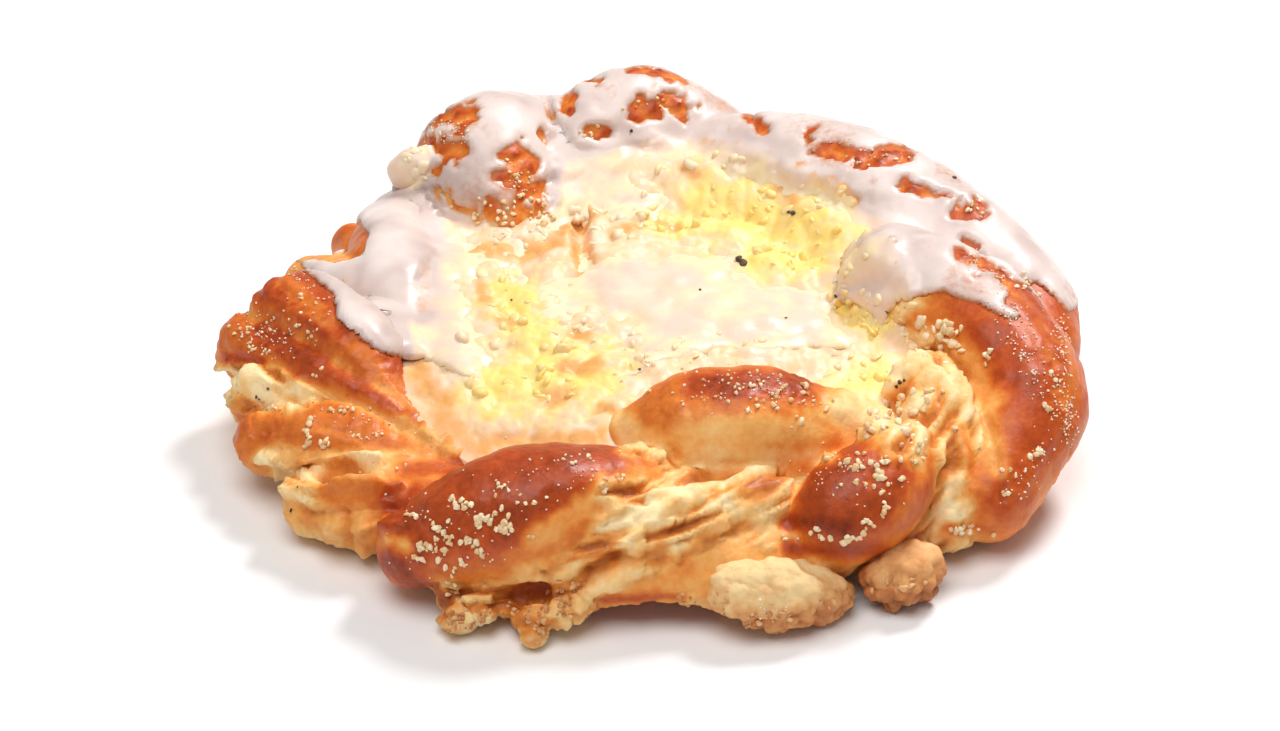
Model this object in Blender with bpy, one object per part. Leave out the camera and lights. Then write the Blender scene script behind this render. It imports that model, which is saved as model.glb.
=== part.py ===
"""A twisted sweet bun: a rope of dough laid in a ring, a crumbly custard filling and sugar icing.

Lengths are in metres. The bun stands on the XY plane with its front towards -Y and its outline
centred on the origin. It is modelled about the ring's own axis: a place on it is an azimuth in
degrees, anticlockwise from +X seen from above, a reach from that axis and a height. The finished
pieces are then placed with the ring's axis at RING_CENTRE.
"""

import math
import random

import bmesh
import bpy
from mathutils import Matrix, Vector, noise
from mathutils.bvhtree import BVHTree

SEED = 7
TOUCH_GAP = 0.0003
RING_CENTRE = (-0.0010, 0.0011)

RING_REACH = 0.0450
RING_WIDTH = 0.0190
RING_HEIGHT = 0.0125
FLOOR_REACH = 0.0460
FLOOR_THICKNESS = 0.0080
DOUGH_VOXEL = 0.0011
DOUGH_TRIANGLES = 4100

# Each lobe of the twisted rope, from its outer end to the end that dives in by the filling:
# stations of azimuth, reach, height and the lobe's radius there.
LOBES = {
    "front_left": (
        (236, 0.0545, 0.0078, 0.0058), (248, 0.0484, 0.0120, 0.0092),
        (259, 0.0440, 0.0130, 0.0084), (270, 0.0390, 0.0130, 0.0056)),
    "front_torn": (
        (248, 0.0530, 0.0050, 0.0040), (266, 0.0468, 0.0090, 0.0076), (291, 0.0432, 0.0118, 0.0050)),
    "front_low": (
        (261, 0.0490, 0.0040, 0.0036), (277, 0.0475, 0.0062, 0.0056), (298, 0.0457, 0.0090, 0.0044)),
    "front_inner": (
        (259, 0.0300, 0.0118, 0.0042), (290, 0.0330, 0.0172, 0.0086), (317, 0.0402, 0.0120, 0.0055)),
    "front_right": (
        (297, 0.0480, 0.0070, 0.0052), (304, 0.0505, 0.0120, 0.0076), (316, 0.0500, 0.0140, 0.0052)),
    "pale_right": (
        (319, 0.0540, 0.0056, 0.0046), (325, 0.0500, 0.0120, 0.0060), (335, 0.0430, 0.0150, 0.0048)),
    "right_outer": (
        (325, 0.0568, 0.0075, 0.0067), (341, 0.0560, 0.0138, 0.0086),
        (355, 0.0450, 0.0172, 0.0092), (366, 0.0360, 0.0182, 0.0080)),
    "back_right": (
        (-8, 0.0545, 0.0070, 0.0064), (9, 0.0550, 0.0108, 0.0080), (35, 0.0452, 0.0165, 0.0100),
        (56, 0.0430, 0.0183, 0.0086), (73, 0.0425, 0.0182, 0.0060)),
    "back_middle": (
        (52, 0.0485, 0.0080, 0.0062), (74, 0.0475, 0.0140, 0.0074),
        (90, 0.0475, 0.0192, 0.0091), (101, 0.0438, 0.0190, 0.0082)),
    "back_left": (
        (84, 0.0500, 0.0080, 0.0066), (105, 0.0485, 0.0142, 0.0082),
        (122, 0.0447, 0.0180, 0.0106), (126, 0.0350, 0.0142, 0.0080)),
    "left_back": (
        (118, 0.0490, 0.0070, 0.0062), (137, 0.0472, 0.0108, 0.0062),
        (162, 0.0385, 0.0128, 0.0078), (187, 0.0300, 0.0120, 0.0052)),
    "left_tip": (
        (145.5, 0.0528, 0.0090, 0.0036), (149, 0.0470, 0.0090, 0.0048), (156, 0.0421, 0.0090, 0.0042)),
    "left_valley": (
        (160, 0.0515, 0.0092, 0.0050), (165, 0.0420, 0.0118, 0.0062), (177, 0.0310, 0.0124, 0.0052)),
    "left_upper": (
        (180, 0.0497, 0.0155, 0.0066), (195, 0.0415, 0.0158, 0.0055),
        (208.5, 0.0400, 0.0132, 0.0036), (229, 0.0389, 0.0116, 0.0020)),
    "left_brow": (
        (183, 0.0553, 0.0120, 0.0057), (199, 0.0453, 0.0130, 0.0048), (229, 0.0388, 0.0112, 0.0022)),
    "left_pale": (
        (193, 0.0550, 0.0098, 0.0046), (200, 0.0467, 0.0108, 0.0050), (228, 0.0392, 0.0098, 0.0026)),
    "left_lower": (
        (201, 0.0560, 0.0076, 0.0047), (210, 0.0476, 0.0098, 0.0054), (231, 0.0396, 0.0088, 0.0030)),
    "left_low": (
        (215, 0.0545, 0.0052, 0.0047), (225, 0.0505, 0.0066, 0.0056), (233, 0.0423, 0.0080, 0.0042)),
}
LOBE_STEPS = 14
LOBE_SIDES = 16

# Dough that overflowed and baked hard under the front edge: azimuth, reach, height and radius.
FRILL = (
    (242.5, 0.0560, 0.0046, 0.0030),
    (245.5, 0.0590, 0.0024, 0.0023),
    (248.0, 0.0565, 0.0042, 0.0028),
    (251.0, 0.0550, 0.0040, 0.0028),
    (253.5, 0.0562, 0.0034, 0.0026),
    (255.3, 0.0583, 0.0020, 0.0021),
    (257.5, 0.0560, 0.0044, 0.0026),
    (260.5, 0.0540, 0.0050, 0.0027),
)

# The gap left where the front edge lifted off the tray: its middle and its half sizes.
FRONT_GAP = ((271.5, 0.0540, 0.0), (0.0096, 0.0105, 0.0048))

FILLING_REACH = 0.0400
FILLING_TOP = 0.0182
FILLING_RIM_DROP = 0.0026
# The filling sinks towards the corner where the fan of lobes meets the front one, and is heaped up
# against the lobes at the back. Azimuths run from -180 to 180.
FILLING_CORNER_AZIMUTH = -124.0
FILLING_CORNER_WIDTH = 16.0
FILLING_CORNER_SINK = 0.0034
FILLING_HEAP_RISE = 0.0052
FILLING_HEAP_REACH = (0.0250, 0.0350)
FILLING_HEAP_START = (-28, 2)
FILLING_HEAP_END = (95, 130)
FILLING_LUMP_HEIGHT = 0.0016
FILLING_LUMP_WIDTH = 0.0042

# Lumps of streusel baked on under the front edge: place (azimuth, reach, height), half sizes along
# the edge, across it and up, then the turn and tilt in degrees.
STREUSEL_LUMPS = {
    "streusel_lump_large": ((289.0, 0.0545, 0.0050), (0.0100, 0.0052, 0.0046), 12, 16),
    "streusel_lump_small": ((306.5, 0.0576, 0.0043), (0.0056, 0.0045, 0.0040), 18, -8),
}
LUMP_RELIEF = 0.0009

# Where crumbs lie on the crust: azimuth, reach, spread and how many.
CRUMB_CLUSTERS = (
    (241.0, 0.0500, 0.0095, 15),
    (266.0, 0.0420, 0.0060, 4),
    (290.0, 0.0330, 0.0110, 8),
    (309.0, 0.0500, 0.0080, 12),
    (335.0, 0.0550, 0.0080, 5),
    (353.0, 0.0500, 0.0080, 6),
    (186.0, 0.0510, 0.0085, 10),
    (207.0, 0.0500, 0.0060, 4),
)
CRUMB_RADII = (0.0008, 0.0015)
CRUMB_GAP = 0.0004
CRUMB_DROP_HEIGHT = 0.0600

# The icing covers an arc of the ring from its outer side onto the filling, and a pool reaches out
# from it over the filling. A thick blob of it set on the outer side of the ring.
# Stations of the arc's two edges: azimuth, inner reach and outer reach.
ICING_EDGES = (
    (-15, 0.0400, 0.0540),
    (0, 0.0290, 0.0575),
    (30, 0.0305, 0.0540),
    (60, 0.0300, 0.0520),
    (90, 0.0290, 0.0525),
    (120, 0.0275, 0.0525),
    (150, 0.0250, 0.0530),
    (180, 0.0250, 0.0500),
    (201, 0.0280, 0.0390),
)
ICING_END_ROUNDING = 10.0
ICING_EDGE_WAVE = 0.0016
ICING_THICKNESS = 0.0018
ICING_CLEARANCE = 0.0006
ICING_SINK = 0.0025
ICING_GRID = (60, 10)
ICING_SMOOTHING = 2
ICING_UNDERSIDE_TRIANGLES = 4200
ICING_POOL_CENTRE = (0.0135, -0.0050)
ICING_POOL_RADII = (0.0240, 0.0085)
ICING_BLOB = ((137.0, 0.0470, 0.0220), 0.0027)

DOUGH_COLOUR = (0.53, 0.20, 0.06)
FILLING_COLOUR = (0.96, 0.80, 0.42)
ICING_COLOUR = (0.88, 0.81, 0.76)
STREUSEL_COLOUR = (0.76, 0.46, 0.17)


def ring_point(azimuth, reach, height):
    turn = math.radians(azimuth)
    return Vector((reach * math.cos(turn), reach * math.sin(turn), height))


def clear_scene():
    for obj in list(bpy.data.objects):
        bpy.data.objects.remove(obj, do_unlink=True)


def material(name, colour, roughness):
    made = bpy.data.materials.new(name)
    made.use_nodes = True
    shader = made.node_tree.nodes["Principled BSDF"]
    shader.inputs["Base Color"].default_value = (*colour, 1)
    shader.inputs["Roughness"].default_value = roughness
    shader.inputs["Metallic"].default_value = 0.0
    return made


def object_from(name, bm):
    """A new object with bm's mesh, its faces turned outwards."""
    bmesh.ops.recalc_face_normals(bm, faces=bm.faces[:])
    mesh = bpy.data.meshes.new(name)
    bm.to_mesh(mesh)
    bm.free()
    obj = bpy.data.objects.new(name, mesh)
    bpy.context.scene.collection.objects.link(obj)
    return obj


def finished(obj, finish):
    """The object in its place, with that one material and smooth shading."""
    obj.data.materials.clear()
    obj.data.materials.append(finish)
    obj.data.shade_smooth()
    obj.location = (*RING_CENTRE, 0)
    return obj


def apply_modifiers(obj):
    graph = bpy.context.evaluated_depsgraph_get()
    mesh = bpy.data.meshes.new_from_object(obj.evaluated_get(graph))
    obj.modifiers.clear()
    obj.data = mesh
    return obj


def boolean(obj, other, operation):
    """Joins or cuts obj with another object, which is then removed."""
    cut = obj.modifiers.new(operation.lower(), "BOOLEAN")
    cut.operation = operation
    cut.object = other
    apply_modifiers(obj)
    bpy.data.objects.remove(other, do_unlink=True)
    return obj


def remeshed(obj, voxel):
    """Overlapping closed shapes made one skin."""
    remesh = obj.modifiers.new("fuse", "REMESH")
    remesh.mode = "VOXEL"
    remesh.voxel_size = voxel
    return apply_modifiers(obj)


def decimated(obj, triangles):
    whole = sum(len(face.vertices) - 2 for face in obj.data.polygons)
    fewer = obj.modifiers.new("fewer", "DECIMATE")
    fewer.ratio = min(1.0, triangles / whole)
    fewer.use_collapse_triangulate = True
    return apply_modifiers(obj)


def reshaped(obj, shift):
    """Moves each vertex by shift(position, normal)."""
    mesh = obj.data
    shifts = [shift(vertex.co, vertex.normal) for vertex in mesh.vertices]
    for vertex, move in zip(mesh.vertices, shifts):
        vertex.co += move
    mesh.update()
    return obj


def largest_body(obj):
    """Drops the loose scraps that a cut leaves."""
    bm = bmesh.new()
    bm.from_mesh(obj.data)
    unseen = set(bm.verts)
    bodies = []
    while unseen:
        body = {unseen.pop()}
        front = set(body)
        while front:
            front = {edge.other_vert(vert) for vert in front for edge in vert.link_edges} & unseen
            unseen -= front
            body |= front
        bodies.append(body)
    keep = max(bodies, key=len)
    bmesh.ops.delete(bm, geom=[vert for vert in bm.verts if vert not in keep], context="VERTS")
    bm.to_mesh(obj.data)
    bm.free()
    return obj


def waviness(place, size, seed):
    """Smooth noise from about -1 to 1 with features of that size."""
    return noise.noise(Vector(place) / size + Vector((seed, 3.1 * seed, 1.7 * seed)))


def smooth_step(low, high, value):
    t = min(1.0, max(0.0, (value - low) / (high - low)))
    return t * t * (3 - 2 * t)


def along(stations, share):
    """The point and radius that share of the way, 0 to 1, along a smooth curve through the stations."""
    rows = [Vector((*ring_point(*place), radius)) for *place, radius in stations]
    spot = share * (len(rows) - 1)
    k = min(int(spot), len(rows) - 2)
    t = spot - k
    a, b = rows[k], rows[k + 1]
    before = rows[k - 1] if k else 2 * a - b
    after = rows[k + 2] if k + 2 < len(rows) else 2 * b - a
    here = 0.5 * (
        2 * a + (b - before) * t
        + (2 * before - 5 * a + 4 * b - after) * t**2
        + (3 * a - before - 3 * b + after) * t**3
    )
    return here.xyz, here.w


def add_ball(bm, place, radii, detail=2, turn=Matrix()):
    at = Matrix.Translation(place) @ turn.to_4x4() @ Matrix.Diagonal((*radii, 1))
    return bmesh.ops.create_icosphere(bm, subdivisions=detail, radius=1, matrix=at)["verts"]


def bridge(bm, rings, closed=False):
    """Quads between successive rings of vertices."""
    for i in range(len(rings) if closed else len(rings) - 1):
        low, high = rings[i], rings[(i + 1) % len(rings)]
        for k in range(len(low)):
            n = (k + 1) % len(low)
            bm.faces.new((low[k], low[n], high[n], high[k]))


def add_lobe(bm, stations, grow):
    """A tapered sausage along the stations, with a ball at each end."""
    rings = []
    for i in range(LOBE_STEPS):
        share = i / (LOBE_STEPS - 1)
        place, radius = along(stations, share)
        ahead = along(stations, min(1, share + 0.02))[0] - along(stations, max(0, share - 0.02))[0]
        side = ahead.cross(Vector((0, 0, 1))).normalized()
        up = side.cross(ahead).normalized()
        ring = []
        for k in range(LOBE_SIDES):
            turn = 2 * math.pi * k / LOBE_SIDES
            out = side * math.cos(turn) + up * math.sin(turn)
            ring.append(bm.verts.new(place + (radius + grow) * out))
        rings.append(ring)
    bridge(bm, rings)
    bm.faces.new(rings[0])
    bm.faces.new(rings[-1])
    for share in (0, 1):
        place, radius = along(stations, share)
        add_ball(bm, place, [radius + grow] * 3)


def add_base_ring(bm, grow, steps=72, sides=16):
    """The flattened lower strand that the lobes lie on, all round."""
    rings = []
    for i in range(steps):
        ring = []
        for k in range(sides):
            lean = 2 * math.pi * k / sides
            reach = RING_REACH + (RING_WIDTH / 2 + grow) * math.cos(lean)
            height = RING_HEIGHT / 2 + (RING_HEIGHT / 2 + grow) * math.sin(lean)
            ring.append(bm.verts.new(ring_point(360 * i / steps, reach, height)))
        rings.append(ring)
    bridge(bm, rings, closed=True)


def add_disc(bm, reach, bottom, top, sides=72):
    at = Matrix.Translation((0, 0, (bottom + top) / 2))
    bmesh.ops.create_cone(
        bm, cap_ends=True, segments=sides, radius1=reach, radius2=reach, depth=top - bottom, matrix=at)


def crust_relief(place, normal):
    """The crust's slow swells and small folds, faded out at the flat foot."""
    fade = smooth_step(0, 0.003, place.z)
    return normal * fade * (0.0005 * waviness(place, 0.009, 1) + 0.0003 * waviness(place, 0.0045, 2))


def dough_skin(name, grow=0.0):
    """The whole rope ring as one skin, or the skin that far outside it."""
    bm = bmesh.new()
    add_base_ring(bm, grow)
    add_disc(bm, FLOOR_REACH + grow, -grow, FLOOR_THICKNESS + grow)
    for stations in LOBES.values():
        add_lobe(bm, stations, grow)
    for azimuth, reach, height, radius in FRILL:
        add_ball(bm, ring_point(azimuth, reach, height), [radius + grow] * 3)
    return reshaped(remeshed(object_from(name, bm), DOUGH_VOXEL), crust_relief)


def filling_height(x, y):
    """The filling's surface: a dome with crumbly lumps, sunk at one corner and heaped at the back."""
    reach = math.hypot(x, y)
    out = min(1.0, reach / FILLING_REACH)
    azimuth = math.degrees(math.atan2(y, x))
    off_corner = (azimuth - FILLING_CORNER_AZIMUTH) / FILLING_CORNER_WIDTH
    sink = FILLING_CORNER_SINK * math.exp(-(off_corner**2))
    heap = FILLING_HEAP_RISE * smooth_step(*FILLING_HEAP_REACH, reach)
    heap *= smooth_step(*FILLING_HEAP_START, azimuth) * (1 - smooth_step(*FILLING_HEAP_END, azimuth))
    near = noise.voronoi(Vector((x, y, 0)) / FILLING_LUMP_WIDTH)[0][0]
    lump = 0.6 - near + 0.6 * waviness((x, y, 0), 0.007, 5)
    level = FILLING_TOP + heap - (FILLING_RIM_DROP + sink) * out**3
    return level + FILLING_LUMP_HEIGHT * lump * (1 - out**6)


def filling_body(name, grow=0.0, rings=14, sides=48):
    """The pad of filling, or the same pad grown on every side to cut its well."""
    bm = bmesh.new()
    bottom = FLOOR_THICKNESS + TOUCH_GAP - grow
    levels = []
    for i in range(1, rings + 1):
        reach = FILLING_REACH * i / rings + (grow if i == rings else 0)
        level = []
        for k in range(sides):
            spot = ring_point(360 * (k + 0.5 * (i % 2)) / sides, reach, 0)
            spot.z = filling_height(spot.x, spot.y) + grow
            level.append(bm.verts.new(spot))
        levels.append(level)
    foot = [bm.verts.new((vert.co.x, vert.co.y, bottom)) for vert in levels[-1]]
    top_middle = bm.verts.new((0, 0, filling_height(0, 0) + grow))
    bottom_middle = bm.verts.new((0, 0, bottom))
    for k in range(sides):
        n = (k + 1) % sides
        bm.faces.new((top_middle, levels[0][k], levels[0][n]))
        bm.faces.new((bottom_middle, foot[n], foot[k]))
        bm.faces.new((levels[-1][k], foot[k], foot[n], levels[-1][n]))
    for i in range(rings - 1):
        inner, outer = levels[i], levels[i + 1]
        lead = (i + 1) % 2
        for k in range(sides):
            n = (k + 1) % sides
            bm.faces.new((inner[k], outer[(k + lead) % sides], inner[n]))
            bm.faces.new((inner[k], outer[(k + lead - 1) % sides], outer[(k + lead) % sides]))
    return object_from(name, bm)


def arc_edges(azimuth):
    """The icing's inner and outer reach at that azimuth."""
    for (low, *near), (high, *far) in zip(ICING_EDGES, ICING_EDGES[1:]):
        if azimuth <= high:
            share = smooth_step(low, high, azimuth)
            return [a + (b - a) * share for a, b in zip(near, far)]
    return ICING_EDGES[-1][1:]


def near_icing(x, y):
    """Whether a point of the plan is under the icing's arc or beside it."""
    margin = ICING_EDGE_WAVE + CRUMB_RADII[1]
    reach = math.hypot(x, y)
    start, end = ICING_EDGES[0][0], ICING_EDGES[-1][0]
    azimuth = (math.degrees(math.atan2(y, x)) - start) % 360 + start
    inner, outer = arc_edges(azimuth)
    return azimuth < end + math.degrees(margin / reach) and inner - margin < reach < outer + margin


def crumb_places(dough):
    """Points on the crust under each cluster, with a radius each, none touching another."""
    kept = []
    for azimuth, reach, spread, count in CRUMB_CLUSTERS:
        middle = ring_point(azimuth, reach, CRUMB_DROP_HEIGHT)
        for _ in range(count):
            away = Vector((random.gauss(0, spread / 2), random.gauss(0, spread / 2), 0))
            radius = random.uniform(*CRUMB_RADII)
            hit, spot, normal, _ = dough.ray_cast(middle + away, Vector((0, 0, -1)))
            clear = all((spot - other).length > radius + near + CRUMB_GAP for other, near in kept)
            if hit and clear and normal.z > 0.35 and not near_icing(spot.x, spot.y):
                kept.append((spot, radius))
    return kept


def add_crumbs(dough):
    """Fuses the larger crumbs to the crust with one union."""
    crumbs = bpy.data.collections.new("crumbs")
    for number, (spot, radius) in enumerate(crumb_places(dough)):
        bm = bmesh.new()
        radii = [radius * random.uniform(0.8, 1.15) for _ in range(3)]
        add_ball(bm, spot, radii, detail=1, turn=Matrix.Rotation(random.uniform(0, math.pi), 3, "Z"))
        crumb = object_from(f"crumb_{number}", bm)
        bpy.context.scene.collection.objects.unlink(crumb)
        crumbs.objects.link(crumb)
    join = dough.modifiers.new("crumbs", "BOOLEAN")
    join.operand_type = "COLLECTION"
    join.operation = "UNION"
    join.collection = crumbs
    apply_modifiers(dough)
    for crumb in list(crumbs.objects):
        bpy.data.objects.remove(crumb, do_unlink=True)
    bpy.data.collections.remove(crumbs)
    return largest_body(dough)


def lump_body(name, place, radii, turn, tilt, grow=0.0):
    """A rough lump of streusel, or the same lump grown to press its bed into the dough."""
    bm = bmesh.new()
    centre = ring_point(*place)
    lay = Matrix.Rotation(math.radians(turn), 3, "Z") @ Matrix.Rotation(math.radians(tilt), 3, "Y")
    for vert in add_ball(bm, centre, [radius + grow for radius in radii], 3, lay):
        rough = waviness(vert.co, 0.0042, 3) + 0.6 * waviness(vert.co, 0.0020, 4)
        vert.co += (vert.co - centre).normalized() * LUMP_RELIEF * rough
        vert.co.z = max(vert.co.z, TOUCH_GAP - grow)
    return object_from(name, bm)


def make_dough():
    """The rope ring with its flat foot, lifted front edge, well for the filling and lump beds."""
    dough = dough_skin("dough")
    under = bmesh.new()
    add_disc(under, 2 * FLOOR_REACH, -FLOOR_THICKNESS, 0)
    boolean(dough, object_from("under_table", under), "DIFFERENCE")
    decimated(dough, DOUGH_TRIANGLES)
    gap = bmesh.new()
    gap_place, gap_radii = FRONT_GAP
    add_ball(gap, ring_point(*gap_place), gap_radii, detail=3)
    boolean(dough, object_from("front_gap", gap), "DIFFERENCE")
    boolean(dough, filling_body("well", TOUCH_GAP), "DIFFERENCE")
    for name, (place, radii, turn, tilt) in STREUSEL_LUMPS.items():
        boolean(dough, lump_body(name + "_bed", place, radii, turn, tilt, TOUCH_GAP), "DIFFERENCE")
    largest_body(dough)
    return add_crumbs(dough)


def skin_heights(plan, bodies, thickness):
    """The height above each point of the plan of a skin that thick, measured square to the bodies."""
    down = Vector((0, 0, -1))
    trees = []
    for body in bodies:
        points = [vertex.co for vertex in body.data.vertices]
        trees.append(BVHTree.FromPolygons(points, [face.vertices for face in body.data.polygons]))
    probes = [(Vector((0, 0, CRUMB_DROP_HEIGHT)), thickness)]
    for share in (0.5, 0.85):
        for k in range(8):
            away = ring_point(45 * k, share * thickness, CRUMB_DROP_HEIGHT)
            probes.append((away, thickness * math.sqrt(1 - share**2)))
    heights = []
    for row in plan:
        level = []
        for x, y in row:
            highest = 0.0
            for away, lift in probes:
                for tree in trees:
                    spot = tree.ray_cast(Vector((x, y, 0)) + away, down)[0]
                    if spot:
                        highest = max(highest, spot.z + lift)
            level.append(highest)
        heights.append(level)
    return heights


def smoothed(heights):
    """Each height averaged with its neighbours in the grid."""
    rows, columns = len(heights), len(heights[0])
    result = []
    for i in range(rows):
        level = []
        for j in range(columns):
            near = [heights[a][b] for a in range(max(0, i - 1), min(rows, i + 2))
                    for b in range(max(0, j - 1), min(columns, j + 2))]
            level.append(sum(near) / len(near))
        result.append(level)
    return result


def sheet_over(name, plan, bodies):
    """A closed sheet on that plan, a grid of (x, y), whose top bridges the creases below it."""
    skin = skin_heights(plan, bodies, ICING_THICKNESS)
    level = skin
    for _ in range(ICING_SMOOTHING):
        level = smoothed(level)
    rows, columns = len(plan), len(plan[0])
    bm = bmesh.new()
    top, bottom = [], []
    for i in range(rows):
        lifts = [max(skin[i][j], level[i][j]) for j in range(columns)]
        sinks = [min(skin[i][j], level[i][j]) - ICING_THICKNESS - ICING_SINK for j in range(columns)]
        top.append([bm.verts.new((*spot, lift)) for spot, lift in zip(plan[i], lifts)])
        bottom.append([bm.verts.new((*spot, sink)) for spot, sink in zip(plan[i], sinks)])
    for i in range(rows - 1):
        for j in range(columns - 1):
            bm.faces.new((top[i][j], top[i + 1][j], top[i + 1][j + 1], top[i][j + 1]))
            bm.faces.new((bottom[i][j], bottom[i][j + 1], bottom[i + 1][j + 1], bottom[i + 1][j]))
    outline = [(i, 0) for i in range(rows)]
    outline += [(rows - 1, j) for j in range(1, columns)]
    outline += [(i, columns - 1) for i in range(rows - 2, -1, -1)]
    outline += [(0, j) for j in range(columns - 2, 0, -1)]
    for (i, j), (m, n) in zip(outline, outline[1:] + outline[:1]):
        bm.faces.new((top[i][j], bottom[i][j], bottom[m][n], top[m][n]))
    bmesh.ops.triangulate(bm, faces=bm.faces[:])
    return object_from(name, bm)


def arc_plan():
    """The grid of points under the icing's arc, its edges wavy and its two ends rounded."""
    steps, across = ICING_GRID
    start, end = ICING_EDGES[0][0], ICING_EDGES[-1][0]
    plan = []
    for i in range(steps):
        azimuth = start + (end - start) * i / (steps - 1)
        inner, outer = arc_edges(azimuth)
        from_end = min(azimuth - start, end - azimuth)
        open_share = math.sqrt(max(0.06, 1 - (1 - min(1, from_end / ICING_END_ROUNDING)) ** 2))
        middle = (inner + outer) / 2
        half = (outer - inner) / 2 * open_share
        inner_wave = ICING_EDGE_WAVE * waviness(ring_point(azimuth, inner, 0), 0.009, 6) * open_share
        outer_wave = ICING_EDGE_WAVE * waviness(ring_point(azimuth, outer, 0), 0.009, 7) * open_share
        low, high = middle - half + inner_wave, middle + half + outer_wave
        row = []
        for j in range(across):
            spot = ring_point(azimuth, low + (high - low) * j / (across - 1), 0)
            row.append((spot.x, spot.y))
        plan.append(row)
    return plan


def pool_plan(steps=17, across=7):
    """The grid of points under the icing's pool: a square grid pressed into an ellipse."""
    plan = []
    for i in range(steps):
        u = 2 * i / (steps - 1) - 1
        row = []
        for j in range(across):
            v = 2 * j / (across - 1) - 1
            x = ICING_POOL_CENTRE[0] + ICING_POOL_RADII[0] * u * math.sqrt(1 - v * v / 2)
            y = ICING_POOL_CENTRE[1] + ICING_POOL_RADII[1] * v * math.sqrt(1 - u * u / 2)
            row.append((x, y))
        plan.append(row)
    return plan


def make_icing(dough, filling):
    """The icing as one thin skin that follows the crust and the filling just clear of both."""
    icing = sheet_over("icing", arc_plan(), (dough, filling))
    boolean(icing, sheet_over("pool", pool_plan(), (dough, filling)), "UNION")
    blob_place, blob_radius = ICING_BLOB
    bm = bmesh.new()
    add_ball(bm, ring_point(*blob_place), [blob_radius] * 3)
    boolean(icing, object_from("blob", bm), "UNION")
    boolean(icing, filling_body("filling_space", ICING_CLEARANCE), "DIFFERENCE")
    skin = decimated(dough_skin("dough_space", ICING_CLEARANCE), ICING_UNDERSIDE_TRIANGLES)
    boolean(icing, skin, "DIFFERENCE")
    return largest_body(icing)


clear_scene()
random.seed(SEED)
dough = make_dough()
filling = filling_body("filling")
icing = make_icing(dough, filling)
finished(dough, material("dough", DOUGH_COLOUR, 0.4))
finished(filling, material("filling", FILLING_COLOUR, 0.5))
finished(icing, material("icing", ICING_COLOUR, 0.25))
streusel_finish = material("streusel", STREUSEL_COLOUR, 0.8)
for name, (place, radii, turn, tilt) in STREUSEL_LUMPS.items():
    finished(lump_body(name, place, radii, turn, tilt), streusel_finish)
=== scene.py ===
"""The twisted sweet bun's looks: browned dough, crumbly custard, sugar icing, streusel and crumbs.

Lengths are in metres. Shapes are built about the ring's own axis, as in the part's source, and the
finished pieces are then set at RING_CENTRE. A place on the bun is an azimuth in degrees, a reach
from the axis and a height. Places read off the photograph are pixels of its 1280 x 731 frame.
"""

import math
import random

import bmesh
import bpy
import numpy as np
from mathutils import Matrix, Vector, noise
from mathutils.bvhtree import BVHTree


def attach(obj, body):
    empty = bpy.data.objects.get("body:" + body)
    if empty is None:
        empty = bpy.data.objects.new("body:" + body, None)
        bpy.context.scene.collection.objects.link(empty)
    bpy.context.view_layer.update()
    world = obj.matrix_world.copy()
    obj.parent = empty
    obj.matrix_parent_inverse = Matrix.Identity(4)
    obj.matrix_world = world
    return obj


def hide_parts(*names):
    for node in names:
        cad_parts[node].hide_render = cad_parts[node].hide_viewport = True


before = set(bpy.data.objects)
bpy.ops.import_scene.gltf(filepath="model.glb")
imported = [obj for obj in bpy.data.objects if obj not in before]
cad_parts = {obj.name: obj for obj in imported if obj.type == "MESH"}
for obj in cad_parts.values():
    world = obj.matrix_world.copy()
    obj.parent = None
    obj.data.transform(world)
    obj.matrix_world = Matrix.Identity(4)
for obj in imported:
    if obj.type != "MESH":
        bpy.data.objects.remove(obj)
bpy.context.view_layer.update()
random.seed(11)
MM = 0.001
RING_CENTRE = (-0.0010, 0.0011)

# The camera: its elevation above the table, distance, what it looks at and its lens.
PHOTO_SIZE = (1280, 731)
ELEVATION = math.radians(33)
DISTANCE = 0.55
AIM = Vector((-0.0007, 0.0047, 0.0042))
FOCUS_PIXELS = 3795.0
SENSOR = 36.0
# How far in front of or behind a stroke's own places the surface still takes its mark.
STROKE_DEPTH = 0.007

SKY_STRENGTH = 0.24
# Each light: its name, place, size and power.
LIGHTS = (("key", (0.28, 0.36, 0.60), 0.24, 4.5), ("top", (-0.10, -0.25, 0.76), 0.6, 4.0))
# How deep the finest relief is, which is left to the materials.
BUMP_DEPTH = 0.0003

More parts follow.
